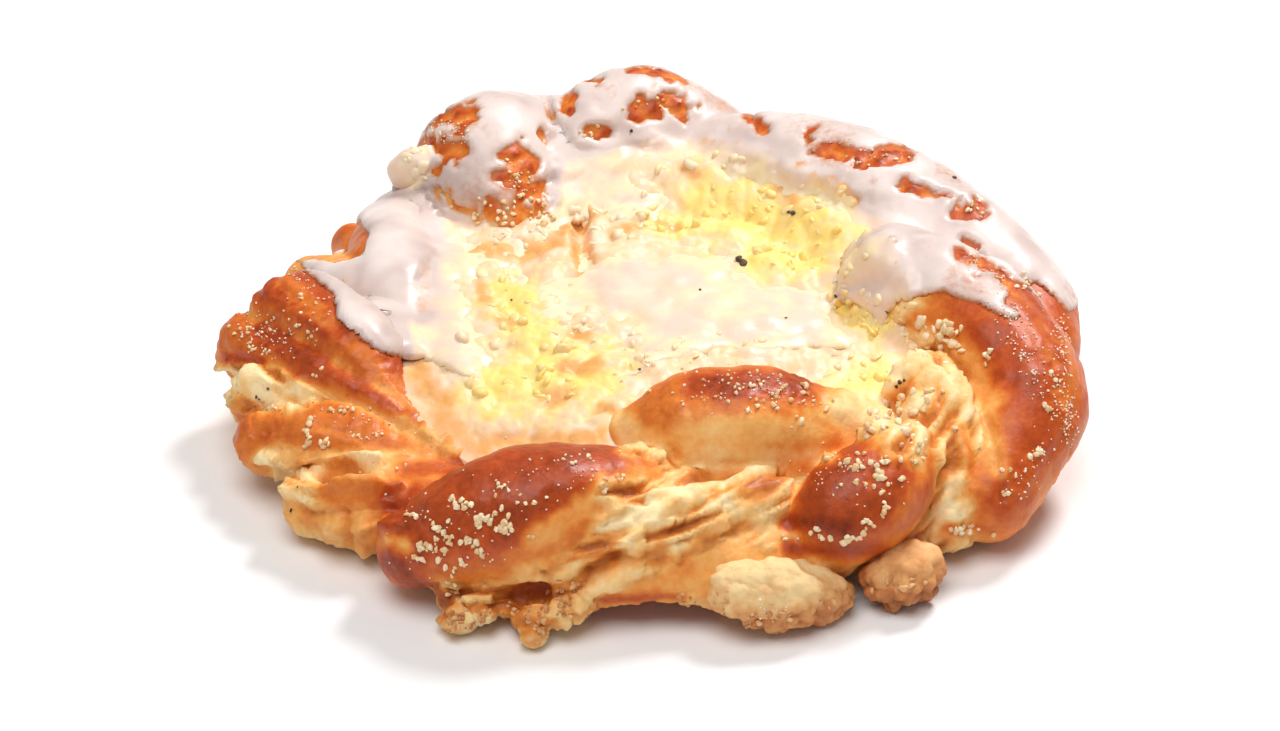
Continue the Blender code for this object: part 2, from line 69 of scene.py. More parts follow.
# The rope's lobes, as in the part's source: azimuth, reach, height and radius at each station.
LOBES = {
    "front_left": (
        (236, 0.0545, 0.0078, 0.0058), (248, 0.0484, 0.0120, 0.0092),
        (259, 0.0440, 0.0130, 0.0084), (270, 0.0390, 0.0130, 0.0056)),
    "front_torn": (
        (248, 0.0530, 0.0050, 0.0040), (266, 0.0468, 0.0090, 0.0076), (291, 0.0432, 0.0118, 0.0050)),
    "front_low": (
        (261, 0.0490, 0.0040, 0.0036), (277, 0.0475, 0.0062, 0.0056), (298, 0.0457, 0.0090, 0.0044)),
    "front_inner": (
        (259, 0.0300, 0.0118, 0.0042), (290, 0.0330, 0.0172, 0.0086), (317, 0.0402, 0.0120, 0.0055)),
    "front_right": (
        (297, 0.0480, 0.0070, 0.0052), (304, 0.0505, 0.0120, 0.0076), (316, 0.0500, 0.0140, 0.0052)),
    "pale_right": (
        (319, 0.0540, 0.0056, 0.0046), (325, 0.0500, 0.0120, 0.0060), (335, 0.0430, 0.0150, 0.0048)),
    "right_outer": (
        (325, 0.0568, 0.0075, 0.0067), (341, 0.0560, 0.0138, 0.0086),
        (355, 0.0450, 0.0172, 0.0092), (366, 0.0360, 0.0182, 0.0080)),
    "back_right": (
        (-8, 0.0545, 0.0070, 0.0064), (9, 0.0550, 0.0108, 0.0080), (35, 0.0452, 0.0165, 0.0100),
        (56, 0.0430, 0.0183, 0.0086), (73, 0.0425, 0.0182, 0.0060)),
    "back_middle": (
        (52, 0.0485, 0.0080, 0.0062), (74, 0.0475, 0.0140, 0.0074),
        (90, 0.0475, 0.0192, 0.0091), (101, 0.0438, 0.0190, 0.0082)),
    "back_left": (
        (84, 0.0500, 0.0080, 0.0066), (105, 0.0485, 0.0142, 0.0082),
        (122, 0.0447, 0.0180, 0.0106), (126, 0.0350, 0.0142, 0.0080)),
    "left_back": (
        (118, 0.0490, 0.0070, 0.0062), (137, 0.0472, 0.0108, 0.0062),
        (162, 0.0385, 0.0128, 0.0078), (187, 0.0300, 0.0120, 0.0052)),
    "left_tip": (
        (145.5, 0.0528, 0.0090, 0.0036), (149, 0.0470, 0.0090, 0.0048), (156, 0.0421, 0.0090, 0.0042)),
    "left_valley": (
        (160, 0.0515, 0.0092, 0.0050), (165, 0.0420, 0.0118, 0.0062), (177, 0.0310, 0.0124, 0.0052)),
    "left_upper": (
        (180, 0.0497, 0.0155, 0.0066), (195, 0.0415, 0.0158, 0.0055),
        (208.5, 0.0400, 0.0132, 0.0036), (229, 0.0389, 0.0116, 0.0020)),
    "left_brow": (
        (183, 0.0553, 0.0120, 0.0057), (199, 0.0453, 0.0130, 0.0048), (229, 0.0388, 0.0112, 0.0022)),
    "left_pale": (
        (193, 0.0550, 0.0098, 0.0046), (200, 0.0467, 0.0108, 0.0050), (228, 0.0392, 0.0098, 0.0026)),
    "left_lower": (
        (201, 0.0560, 0.0076, 0.0047), (210, 0.0476, 0.0098, 0.0054), (231, 0.0396, 0.0088, 0.0030)),
    "left_low": (
        (215, 0.0545, 0.0052, 0.0047), (225, 0.0505, 0.0066, 0.0056), (233, 0.0423, 0.0080, 0.0042)),
}
# How brown each lobe's crest is baked, 0 raw to 1 dark, and how far the paleness of its seams
# reaches on to it.
CRUST = {
    "front_left": (0.84, 0.0010), "front_torn": (0.16, 0.0020), "front_low": (0.42, 0.0016),
    "front_inner": (0.62, 0.0016), "front_right": (0.82, 0.0011), "pale_right": (0.16, 0.0016),
    "right_outer": (0.74, 0.0012), "back_right": (0.76, 0.0014), "back_middle": (0.72, 0.0014),
    "back_left": (0.72, 0.0014), "left_back": (0.58, 0.0014), "left_tip": (0.66, 0.0010),
    "left_valley": (0.46, 0.0014), "left_upper": (0.80, 0.0008), "left_brow": (0.68, 0.0008),
    "left_pale": (0.12, 0.0020), "left_lower": (0.64, 0.0010), "left_low": (0.44, 0.0016),
    "base": (0.45, 0.0012), "frill": (0.18, 0.0012),
}
SEAM_BROWNING = 0.24
SEAM_DEPTH = 0.0004
# The dark brown painted as shade in the gap under the front edge, and how high the foot is kept plain.
GAP_PAINTED_SHADE = 1.1
FOOT_HEIGHT = 0.003
# Stretched dough has ridges along it: how deep they are on each lobe.
STREAKS = {
    "left_upper": 0.00050, "left_brow": 0.00055, "left_pale": 0.00045, "left_lower": 0.00060,
    "left_low": 0.00045, "front_left": 0.00008, "front_torn": 0.00040, "front_low": 0.00020,
    "pale_right": 0.00022, "right_outer": 0.00022, "front_right": 0.00008,
}
FRILL = (
    (242.5, 0.0560, 0.0046, 0.0030), (245.5, 0.0590, 0.0024, 0.0023), (248.0, 0.0565, 0.0042, 0.0028),
    (251.0, 0.0550, 0.0040, 0.0028), (253.5, 0.0562, 0.0034, 0.0026), (255.3, 0.0583, 0.0020, 0.0021),
    (257.5, 0.0560, 0.0044, 0.0026), (260.5, 0.0540, 0.0050, 0.0027),
)
RING_REACH = 0.0450
RING_WIDTH = 0.0190
RING_HEIGHT = 0.0125
FLOOR_REACH = 0.0460
FLOOR_THICKNESS = 0.0080
FLOOR_CLEARANCE = 0.0003
DOUGH_VOXEL = 0.0006
# The dough is torn where it is paler than this, and two lobes in layers up to a browner shade.
TORN_BROWNING = (0.25, 0.40)
LAYERED_BROWNING = (0.55, 0.75)
# The torn layers: how steeply they climb round the ring, how wide, long and high each one is.
STRAND_SLOPE = -0.5
FLAKE_WIDTH = 0.0031
FLAKE_LENGTH = 0.0120
FLAKE_RISE = 0.0011
# How high the crumbs of the torn dough and of the frill stand.
CRUMB_RISE = 0.0006
FRILL_RISE = 0.0016
CREASE_ROUNDING = 0.00035

# The gap left where the front edge lifted off the tray: its middle and its half sizes.
FRONT_GAP = ((271.5, 0.0540, 0.0), (0.0096, 0.0105, 0.0048))

FILLING_REACH = 0.0400
FILLING_TOP = 0.0182
FILLING_RIM_DROP = 0.0026
# The filling sinks towards the corner where the fan of lobes meets the front one, and is heaped up
# against the lobes at the back. Azimuths run from -180 to 180.
FILLING_CORNER_AZIMUTH = -124.0
FILLING_CORNER_WIDTH = 16.0
FILLING_CORNER_SINK = 0.0034
FILLING_HEAP_RISE = 0.0052
FILLING_HEAP_REACH = (0.0250, 0.0350)
FILLING_HEAP_START = (-28, 2)
FILLING_HEAP_END = (95, 130)

LUMP_CLEARANCE = 0.0003
LUMP_WAVE_RISE = 0.0009
LUMP_GRAIN_RISE = 0.0010
# Each lump of streusel: its place, its half sizes, its turn and tilt, and how brown it is on top.
STREUSEL_LUMPS = {
    "streusel_lump_large": ((289.0, 0.0545, 0.0050), (0.0100, 0.0052, 0.0046), 12, 16, 0.06),
    "streusel_lump_small": ((306.5, 0.0576, 0.0043), (0.0056, 0.0045, 0.0040), 18, -8, 0.34),
}

# The icing's arc round the parts that the photograph doesn't show: azimuth, inner reach and outer
# reach. Where it shows, its outline is a loop of pixels.
ICING_EDGES = (
    (-15, 0.0400, 0.0540), (0, 0.0290, 0.0575), (30, 0.0305, 0.0545), (60, 0.0300, 0.0535),
    (90, 0.0290, 0.0540), (120, 0.0275, 0.0535), (150, 0.0250, 0.0530), (180, 0.0250, 0.0500),
    (201, 0.0280, 0.0390),
)
ICING_OUTLINE = (
    (276, 258), (300, 272), (318, 286), (333, 300), (331, 320), (346, 336), (374, 353), (398, 360),
    (430, 366), (462, 380), (500, 392), (560, 380), (640, 372), (720, 352), (800, 352), (850, 350),
    (886, 330), (900, 306), (930, 299), (948, 297), (974, 309), (992, 317), (1012, 325), (1022, 316),
    (1006, 303), (1014, 292), (1034, 284), (1050, 298), (1066, 318), (1090, 300), (1090, 60), (300, 40),
    (300, 190), (352, 222), (370, 238), (364, 257), (338, 262), (300, 256),
)
ICING_VOXEL = 0.0007
ICING_THICKNESS = 0.0006
ICING_EDGE_WIDTH = 0.0015
# How far the icing's edge sinks into what is under it, and how thick the finished skin is.
ICING_SINK = 0.0010
ICING_SKIN = 0.0012
# How low the icing runs where the photograph doesn't show it.
ICING_FOOT = 0.0135
# How many times its radius a drop lifts the icing, and keeps its colour plain.
DROP_REACH = 1.3
DROP_COLOUR_REACH = 1.5
# Nearer the axis than this the icing lies on the filling, half as thick but for its pools.
ON_FILLING_REACH = 0.033
POOL_THICKNESS = 0.0012
# How far above the surface the icing goes where it is missing.
BARE_FILLING_LIFT = -0.0012
BARE_CRUST_LIFT = -0.0004
# How many times the icing's shape is averaged where it is thin and where it hangs as a sheet.
ICING_SMOOTHING = 30
SHEET_SMOOTHING = 200
# Strokes of the picture where the crust shows through the icing.
BARE_STROKES = (
    (414, 141, 455, 150, 12), (440, 120, 472, 116, 8), (515, 166, 530, 186, 16), (434, 171, 438, 174, 5),
    (420, 192, 427, 193, 5), (440, 198, 476, 236, 14), (476, 238, 506, 250, 11), (500, 222, 552, 222, 16),
    (542, 136, 546, 141, 5), (547, 108, 556, 128, 4), (568, 86, 572, 108, 6), (590, 130, 604, 133, 7),
    (588, 80, 602, 82, 5), (630, 69, 682, 79, 6), (638, 112, 660, 104, 10), (660, 100, 682, 108, 8),
    (752, 118, 762, 130, 5), (812, 142, 846, 156, 8), (862, 162, 905, 155, 8), (902, 187, 945, 197, 5),
    (945, 198, 968, 208, 4), (966, 211, 980, 212, 8), (966, 250, 974, 258, 7), (974, 258, 1002, 274, 9),
    (1002, 274, 1014, 292, 6), (460, 284, 466, 292, 5), (782, 184, 796, 198, 8),
)
# Strokes where the crust is gritty.
GRITTY_STROKES = (
    (680, 396, 800, 388, 18), (240, 330, 300, 345, 18), (270, 290, 320, 310, 14),
    (410, 540, 470, 530, 18), (850, 470, 900, 485, 18), (1052, 330, 1066, 430, 10),
)
# Strokes where the icing hangs as one smooth sheet over the shapes below, and how thick it is.
SHEET_STROKES = (
    (385, 230, 400, 300, 60, 0.0010), (345, 292, 430, 345, 34, 0.0012), (440, 290, 460, 350, 30, 0.0010),
    (556, 112, 572, 215, 26, 0.0010), (900, 225, 1005, 262, 36, 0.0010), (850, 265, 900, 300, 30, 0.0008),
    (400, 185, 440, 235, 26, 0.0007), (1000, 310, 1020, 318, 12, 0.0006),
    (838, 222, 850, 290, 26, 0.0008), (735, 160, 850, 205, 20, 0.0010),
)
# Strokes where the filling shows bare, and those where the icing lies thick on it.
FILLING_STROKES = (
    (500, 300, 520, 380, 26), (540, 390, 600, 345, 30), (545, 260, 590, 230, 20),
    (700, 215, 830, 230, 34), (760, 260, 830, 270, 22), (650, 170, 700, 190, 16),
    (840, 310, 880, 340, 16), (610, 235, 650, 245, 16),
)
POOL_STROKES = (
    (620, 300, 860, 320, 26), (640, 270, 740, 275, 14), (600, 150, 660, 150, 18),
    (860, 230, 900, 270, 20),
)
# Drops of icing at the left outline: the place and the radius of each.
ICING_DROPS = (
    ((136.6, 0.0472, 0.0212), 0.0026), ((136.2, 0.0466, 0.0220), 0.0023),
    ((138.4, 0.0478, 0.0208), 0.0021), ((135.2, 0.0480, 0.0206), 0.0019),
)

# Places on the crust by their pixels: a stroke from one end to the other, its half width, and how
# brown the dough is there. Later strokes lie over earlier ones.
CRUST_STROKES = (
    (222, 368, 240, 370, 6, 0.06), (240, 380, 290, 398, 15, 0.06), (240, 405, 300, 400, 8, 0.14),
    (262, 330, 320, 362, 11, 0.95), (225, 358, 262, 362, 5, 0.92), (285, 280, 330, 320, 9, 0.58),
    (350, 345, 425, 405, 7, 0.62), (330, 372, 420, 420, 6, 0.90), (300, 368, 360, 385, 10, 0.80),
    (425, 408, 462, 446, 6, 0.40), (400, 420, 455, 448, 6, 0.34), (240, 425, 300, 440, 14, 0.66),
    (300, 430, 400, 440, 8, 0.58), (280, 452, 380, 472, 9, 0.22), (262, 456, 300, 476, 8, 0.14),
    (290, 492, 318, 500, 8, 0.10), (300, 476, 380, 462, 5, 0.12), (330, 495, 390, 500, 10, 0.58),
    (318, 530, 400, 545, 9, 0.32), (300, 508, 312, 524, 6, 0.50), (342, 508, 350, 552, 4, 0.58),
    (372, 512, 378, 560, 4, 0.52), (330, 480, 400, 470, 4, 0.20), (405, 470, 470, 462, 9, 0.74),
    (385, 560, 440, 605, 12, 0.92), (400, 500, 560, 480, 24, 0.84), (510, 560, 560, 520, 10, 0.60),
    (540, 540, 600, 500, 14, 0.40), (520, 575, 560, 560, 9, 0.30), (620, 500, 700, 480, 26, 0.20),
    (610, 545, 660, 520, 20, 0.24), (588, 574, 616, 560, 9, 0.58), (501, 598, 545, 590, 6, 0.62),
    (548, 570, 566, 540, 6, 0.46), (560, 520, 600, 508, 7, 0.44), (618, 530, 648, 508, 10, 0.04),
    (668, 480, 700, 498, 10, 0.04), (700, 500, 728, 488, 8, 0.16), (636, 562, 662, 548, 6, 0.44),
    (636, 590, 690, 568, 9, 0.46), (686, 566, 706, 540, 12, 0.56), (600, 602, 680, 598, 5, 0.80),
    (600, 458, 660, 452, 9, 0.74), (640, 470, 660, 478, 6, 0.48), (628, 446, 658, 452, 11, 0.12),
    (700, 385, 800, 383, 13, 0.90), (618, 420, 640, 438, 14, 0.24), (648, 420, 700, 400, 8, 0.56),
    (680, 435, 810, 430, 17, 0.30), (690, 458, 830, 458, 9, 0.22), (690, 475, 800, 480, 9, 0.12),
    (740, 494, 764, 490, 11, 0.40), (720, 520, 780, 545, 14, 0.30), (700, 560, 750, 530, 8, 0.34),
    (790, 548, 880, 552, 8, 0.84), (820, 490, 880, 500, 20, 0.86), (790, 520, 850, 530, 8, 0.96),
    (900, 520, 925, 470, 8, 0.62), (850, 410, 915, 440, 24, 0.12), (915, 380, 965, 400, 18, 0.14),
    (902, 396, 926, 412, 13, 0.10), (855, 300, 925, 345, 20, 0.12), (840, 330, 900, 370, 14, 0.08),
    (962, 430, 976, 484, 7, 0.58), (940, 430, 948, 500, 8, 0.10), (925, 530, 965, 505, 9, 0.08),
    (945, 530, 990, 530, 6, 0.62), (955, 345, 985, 400, 16, 0.34), (985, 400, 1000, 470, 10, 0.38),
    (1010, 340, 1045, 430, 13, 0.82), (1040, 440, 1000, 510, 9, 0.74), (1072, 340, 1074, 400, 8, 0.64),
    (930, 302, 955, 335, 10, 0.60), (985, 330, 1000, 350, 12, 0.80), (862, 245, 900, 290, 26, 0.10),
    (845, 250, 868, 300, 18, 0.04), (835, 235, 852, 262, 14, 0.04), (345, 235, 365, 250, 16, 0.62),
    (570, 240, 592, 215, 9, 0.42), (580, 265, 586, 275, 8, 0.62), (440, 198, 476, 236, 16, 0.46),
    (476, 238, 506, 250, 13, 0.40), (500, 222, 552, 222, 16, 0.48), (650, 142, 750, 158, 12, 0.10),
    (760, 165, 845, 198, 15, 0.06), (784, 186, 794, 196, 8, 0.70),
)
# Strokes of the picture where the dough stands out or is sunk, and how far.
RELIEF_STROKES = (
    (588, 576, 618, 560, 11, -0.0036), (505, 597, 540, 592, 8, -0.0028), (222, 376, 234, 380, 6, -0.0014),
    (545, 564, 625, 545, 4, 0.0011), (600, 520, 700, 470, 5, 0.0008), (620, 545, 680, 500, 4, 0.0008),
    (440, 500, 600, 470, 20, 0.0005), (700, 500, 780, 480, 6, 0.0008), (850, 400, 900, 440, 18, 0.0012),
    (915, 380, 960, 395, 15, 0.0012), (902, 396, 924, 410, 12, 0.0014), (240, 392, 290, 398, 8, -0.0008),
    (225, 364, 300, 376, 4, 0.0006), (342, 508, 350, 552, 4, -0.0008), (374, 512, 380, 560, 4, -0.0007),
    (360, 520, 366, 560, 5, 0.0006), (262, 456, 380, 462, 4, 0.0012), (285, 474, 350, 480, 4, -0.0010),
    (292, 492, 400, 484, 4, 0.0012), (310, 514, 400, 506, 4, -0.0008), (330, 530, 400, 526, 4, 0.0008),
    (345, 488, 372, 486, 9, 0.0012), (572, 590, 578, 610, 5, 0.0010), (958, 425, 972, 490, 5, 0.0006),
    (988, 420, 1004, 500, 4, -0.0007),
)
# Where the filling is split or sunk, and how far.
DENT_STROKES = (
    (580, 215, 584, 262, 7, -0.0022), (598, 205, 625, 198, 6, -0.0012), (588, 262, 600, 270, 5, -0.0010),
    (655, 222, 676, 224, 6, -0.0010), (905, 345, 915, 375, 8, -0.0014), (840, 300, 852, 318, 8, -0.0012),
)
# Where the filling is yellow, and where it is peach or golden.
YELLOW_STROKES = (
    (500, 390, 590, 375, 34), (510, 300, 540, 350, 26), (700, 205, 830, 235, 32),
    (760, 260, 820, 262, 18), (850, 385, 890, 375, 24), (840, 300, 872, 330, 12),
    (655, 220, 690, 225, 12), (880, 330, 900, 300, 10),
)
PEACH_STROKES = (
    (580, 245, 586, 272, 11), (575, 225, 622, 200, 9), (565, 370, 600, 366, 8), (540, 402, 572, 396, 8),
    (576, 330, 588, 333, 8), (500, 322, 520, 322, 6), (418, 372, 440, 400, 12), (440, 420, 480, 446, 12),
    (500, 440, 600, 440, 8), (600, 410, 620, 420, 6), (660, 222, 676, 224, 5), (918, 330, 930, 350, 14),
    (900, 400, 912, 420, 6), (480, 284, 486, 300, 6), (470, 254, 560, 246, 8), (562, 236, 604, 208, 8),
    (784, 186, 794, 200, 9), (612, 236, 640, 228, 5), (684, 168, 696, 174, 5),
)
# The radii of crumbs and specks, and those of curds and sugar, are these shares of the sizes in
# millimetres below.
CRUMB_SCALE = 0.68
GRAIN_SCALE = 0.5
SUGAR_SIZES = (0.25, 0.50)
# The grains on a stroke spread by its half width divided by this.
STROKE_SCATTER = 1.7
# How many flat sides a grain is broken to.
BREAKS = 7
# Crumbs on the crust: the middle and spread of a cluster in pixels, how many, and their sizes.
CRUMB_CLUSTERS = (
    (460, 502, 6, 4, 12, 0.55, 0.95), (482, 520, 7, 6, 12, 0.60, 1.05), (508, 521, 7, 7, 12, 0.60, 1.05),
    (424, 545, 8, 9, 12, 0.55, 0.95), (441, 536, 7, 6, 8, 0.55, 0.90), (455, 540, 6, 5, 7, 0.55, 0.90),
    (471, 541, 6, 5, 7, 0.50, 0.90), (440, 552, 4, 4, 4, 0.60, 0.90), (461, 560, 4, 5, 5, 0.50, 0.80),
    (484, 553, 4, 3, 4, 0.50, 0.80), (452, 584, 6, 7, 8, 0.45, 0.80), (414, 515, 4, 3, 4, 0.50, 0.75),
    (423, 593, 3, 3, 2, 0.45, 0.60), (501, 490, 6, 4, 6, 0.40, 0.60), (581, 457, 14, 4, 8, 0.40, 0.60),
    (604, 488, 5, 3, 4, 0.50, 0.75), (619, 477, 4, 4, 4, 0.45, 0.70), (529, 535, 2, 2, 2, 0.45, 0.60),
    (528, 502, 10, 6, 6, 0.40, 0.60), (730, 386, 45, 8, 26, 0.35, 0.60),
    (740, 402, 45, 6, 14, 0.35, 0.60), (800, 400, 14, 12, 12, 0.50, 0.85),
    (770, 398, 10, 8, 5, 0.45, 0.75), (866, 460, 16, 6, 12, 0.50, 0.85),
    (888, 475, 14, 9, 16, 0.55, 0.95), (862, 475, 16, 10, 8, 0.45, 0.80), (884, 511, 2, 5, 5, 0.55, 0.85),
    (868, 520, 4, 5, 6, 0.50, 0.80), (816, 531, 4, 3, 5, 0.50, 0.80), (848, 538, 8, 3, 9, 0.55, 0.90),
    (789, 537, 5, 3, 4, 0.45, 0.70), (925, 450, 6, 8, 8, 0.50, 0.80), (987, 357, 5, 4, 6, 0.55, 0.85),
    (946, 330, 7, 6, 12, 0.70, 1.30), (950, 345, 8, 4, 6, 0.70, 1.20), (1046, 406, 3, 3, 3, 0.60, 0.80),
    (1038, 455, 3, 5, 5, 0.70, 1.00), (1010, 473, 3, 3, 3, 0.45, 0.65), (1008, 494, 4, 3, 4, 0.50, 0.75),
    (1050, 374, 3, 3, 3, 0.50, 0.70), (252, 336, 12, 9, 18, 0.30, 0.55), (258, 350, 9, 4, 10, 0.30, 0.55),
    (275, 322, 6, 6, 6, 0.30, 0.50), (306, 332, 6, 8, 8, 0.35, 0.60), (312, 296, 14, 12, 10, 0.30, 0.50),
    (321, 371, 3, 3, 4, 0.45, 0.60), (272, 409, 4, 1.5, 6, 0.50, 0.75), (307, 428, 3, 8, 8, 0.60, 0.95),
    (326, 443, 4, 2, 5, 0.60, 0.85), (340, 411, 12, 3, 8, 0.55, 0.85), (368, 437, 14, 3, 8, 0.35, 0.55),
    (403, 469, 2, 2, 2, 0.50, 0.70), (520, 178, 8, 9, 12, 0.35, 0.65), (500, 214, 22, 7, 24, 0.40, 0.80),
    (440, 128, 14, 8, 10, 0.30, 0.50), (545, 214, 10, 8, 14, 0.40, 0.90), (955, 432, 3, 3, 3, 0.50, 0.70),
    (650, 104, 16, 4, 8, 0.35, 0.55), (596, 130, 8, 4, 6, 0.35, 0.60), (884, 160, 18, 4, 8, 0.35, 0.55),
    (974, 212, 6, 4, 8, 0.35, 0.60), (1030, 285, 12, 8, 10, 0.40, 0.65),
    (920, 405, 14, 8, 10, 0.60, 1.20), (880, 425, 14, 10, 14, 0.60, 1.20),
    (970, 530, 16, 3, 12, 0.55, 0.90),
)
# Browner crumbs on the lumps of streusel and the frill.
BROWN_CLUSTERS = (
    (455, 625, 6, 8, 26, 0.35, 0.80), (475, 612, 10, 7, 20, 0.35, 0.80), (540, 630, 6, 8, 26, 0.35, 0.80),
    (562, 602, 8, 10, 26, 0.35, 0.80), (577, 585, 4, 8, 10, 0.35, 0.70),
    (508, 608, 16, 5, 16, 0.35, 0.75), (765, 620, 24, 4, 18, 0.40, 0.90), (724, 604, 5, 6, 6, 0.40, 0.80),
    (832, 598, 9, 6, 6, 0.40, 0.80), (893, 586, 20, 7, 14, 0.40, 0.90), (690, 598, 14, 4, 8, 0.35, 0.70),
)
# The sugar's sparkle: strokes of the picture, their half width and how many grains.
SUGAR_STROKES = (
    (1060, 320, 1068, 440, 8, 150), (1010, 300, 1050, 400, 16, 70), (1050, 440, 1010, 505, 12, 40),
    (240, 320, 300, 350, 20, 80), (290, 270, 330, 310, 10, 30), (700, 385, 810, 395, 20, 70),
    (410, 500, 600, 470, 26, 60), (400, 560, 520, 540, 26, 34), (800, 470, 910, 480, 22, 50),
    (420, 130, 470, 135, 12, 40), (505, 165, 535, 190, 10, 24), (830, 145, 900, 160, 8, 20),
    (970, 255, 1010, 285, 8, 30), (300, 400, 400, 440, 24, 30), (750, 608, 790, 608, 9, 14),
    (1000, 300, 1066, 420, 14, 90),
)
# Dark specks: the pixel and the size of each.
SPECKS = (
    (740, 262, 1.04), (738, 261, 1.00), (742, 263, 0.96), (793, 213, 0.68), (789, 212, 0.56),
    (954, 178, 0.56), (900, 383, 0.56), (904, 381, 0.48), (897, 386, 0.40), (631, 131, 0.44),
    (268, 388, 0.40), (256, 397, 0.36), (259, 399, 0.32), (298, 487, 0.36), (836, 296, 0.40),
    (291, 510, 0.44), (700, 290, 0.36), (786, 318, 0.32), (640, 370, 0.36), (512, 300, 0.32),
)
# Lumps in the filling: strokes of the picture, half width, how many, and their sizes.
CURD_STROKES = (
    (495, 270, 530, 300, 22, 16, 1.6, 3.4), (500, 320, 600, 340, 28, 22, 1.6, 3.4),
    (490, 380, 600, 380, 30, 26, 1.4, 3.2), (560, 260, 600, 215, 22, 18, 1.4, 3.2),
    (610, 220, 700, 220, 20, 18, 1.4, 3.0), (700, 200, 840, 230, 34, 36, 1.2, 2.8),
    (740, 260, 850, 260, 16, 14, 1.2, 2.8), (620, 340, 800, 345, 12, 18, 1.2, 2.4),
    (830, 300, 900, 330, 22, 20, 1.4, 3.0), (840, 370, 900, 380, 20, 12, 1.4, 2.8),
    (880, 400, 925, 430, 18, 18, 1.2, 2.6), (600, 370, 660, 360, 12, 10, 1.2, 2.4),
    (660, 160, 760, 165, 16, 12, 1.2, 2.6), (900, 320, 940, 350, 18, 22, 1.2, 2.8),
    (404, 156, 422, 172, 9, 9, 1.6, 3.0), (846, 296, 872, 322, 10, 10, 1.4, 3.0),
    (490, 240, 550, 235, 10, 10, 1.0, 2.2),
)


def ring_point(azimuth, reach, height):
    turn = math.radians(azimuth)
    return Vector((reach * math.cos(turn), reach * math.sin(turn), height))


def smooth_step(low, high, value):
    t = np.clip((np.asarray(value, float) - low) / (high - low), 0, 1)
    return t * t * (3 - 2 * t)


def mixed(a, b, share):
    return a + (b - a) * share


def split_length(rows):
    """Each row's length, and the rows made 1 long."""
    far = np.linalg.norm(rows, axis=1)
    return far, rows / np.maximum(far, 1e-9)[:, None]


def waviness(points, size, seed):
    """Smooth noise from about -1 to 1 at each point, with features of that size."""
    shift = np.array((seed, 3.1 * seed, 1.7 * seed))
    return np.array([noise.noise(place) for place in (points / size + shift).tolist()])


def waves(points, *bands, start=0):
    """The start with some waviness added: the depth, size and seed of each band."""
    return sum((depth * waviness(points, size, seed) for depth, size, seed in bands), start)


def cells(points, size, seed):
    """How far each point is from the middle of its cell, 0 to about 1, for cells of that size."""
    shift = np.array((seed, 2.3 * seed, 0.7 * seed))
    return np.array([noise.voronoi(place)[0][0] for place in (points / size + shift).tolist()])


def lumpiness(points, *bands):
    """Rounded lumps with creases between them: the depth, size and seed of each band."""
    return sum(depth * (0.4 - cells(points, size, seed) ** 2) for depth, size, seed in bands)


# meshes


def link(name, data):
    obj = bpy.data.objects.new(name, data)
    bpy.context.scene.collection.objects.link(obj)
    return obj


def object_from(name, bm):
    bmesh.ops.recalc_face_normals(bm, faces=bm.faces[:])
    mesh = bpy.data.meshes.new(name)
    bm.to_mesh(mesh)
    bm.free()
    return link(name, mesh)


def object_of(name, points, faces):
    mesh = bpy.data.meshes.new(name)
    mesh.from_pydata([tuple(p) for p in points], [], faces)
    return link(name, mesh)


def apply_modifiers(obj):
    graph = bpy.context.evaluated_depsgraph_get()
    mesh = bpy.data.meshes.new_from_object(obj.evaluated_get(graph))
    obj.modifiers.clear()
    obj.data = mesh
    return obj


def remeshed(obj, voxel):
    remesh = obj.modifiers.new("fuse", "REMESH")
    remesh.mode = "VOXEL"
    remesh.voxel_size = voxel
    return apply_modifiers(obj)


def read(obj, what="co"):
    """The vertices' places, or their normals."""
    flat = np.empty(len(obj.data.vertices) * 3)
    obj.data.vertices.foreach_get(what, flat)
    return flat.reshape(-1, 3)


def write_points(obj, points):
    obj.data.vertices.foreach_set("co", points.ravel())
    obj.data.update()


def set_attribute(obj, name, values):
    made = obj.data.attributes.new(name, "FLOAT", "POINT")
    made.data.foreach_set("value", np.asarray(values, np.float32))


def relaxed(obj, values, steps):
    """Values at the vertices averaged with their neighbours, that many times."""
    ends = np.empty(len(obj.data.edges) * 2, int)
    obj.data.edges.foreach_get("vertices", ends)
    a, b = ends.reshape(-1, 2).T
    count = np.bincount(a, minlength=len(values)) + np.bincount(b, minlength=len(values))
    flat = values.reshape(len(values), -1).copy()
    for _ in range(steps):
        total = np.zeros_like(flat)
        for column in range(flat.shape[1]):
            total[:, column] = np.bincount(a, flat[b, column], len(flat))
            total[:, column] += np.bincount(b, flat[a, column], len(flat))
        flat = 0.5 * flat + 0.5 * total / np.maximum(count, 1)[:, None]
    return flat.reshape(values.shape)


def surface_tree(*objects):
    """One search tree over all the faces of the objects."""
    points, faces = [], []
    for obj in objects:
        start = len(points)
        points += [vertex.co.copy() for vertex in obj.data.vertices]
        faces += [[start + i for i in face.vertices] for face in obj.data.polygons]
    return BVHTree.FromPolygons(points, faces)


def add_ball(bm, place, radius):
    bmesh.ops.create_icosphere(bm, subdivisions=3, radius=radius, matrix=Matrix.Translation(place))


def add_walls(bm, rings):
    """Faces between each ring of vertices and the next."""
    for low, high in zip(rings, rings[1:]):
        for k in range(len(low)):
            n = (k + 1) % len(low)
            bm.faces.new((low[k], low[n], high[n], high[k]))


# the photograph's view


BACK = Vector((0, -math.cos(ELEVATION), math.sin(ELEVATION)))
UP = Vector((0, math.sin(ELEVATION), math.cos(ELEVATION)))
EYE = AIM + DISTANCE * BACK


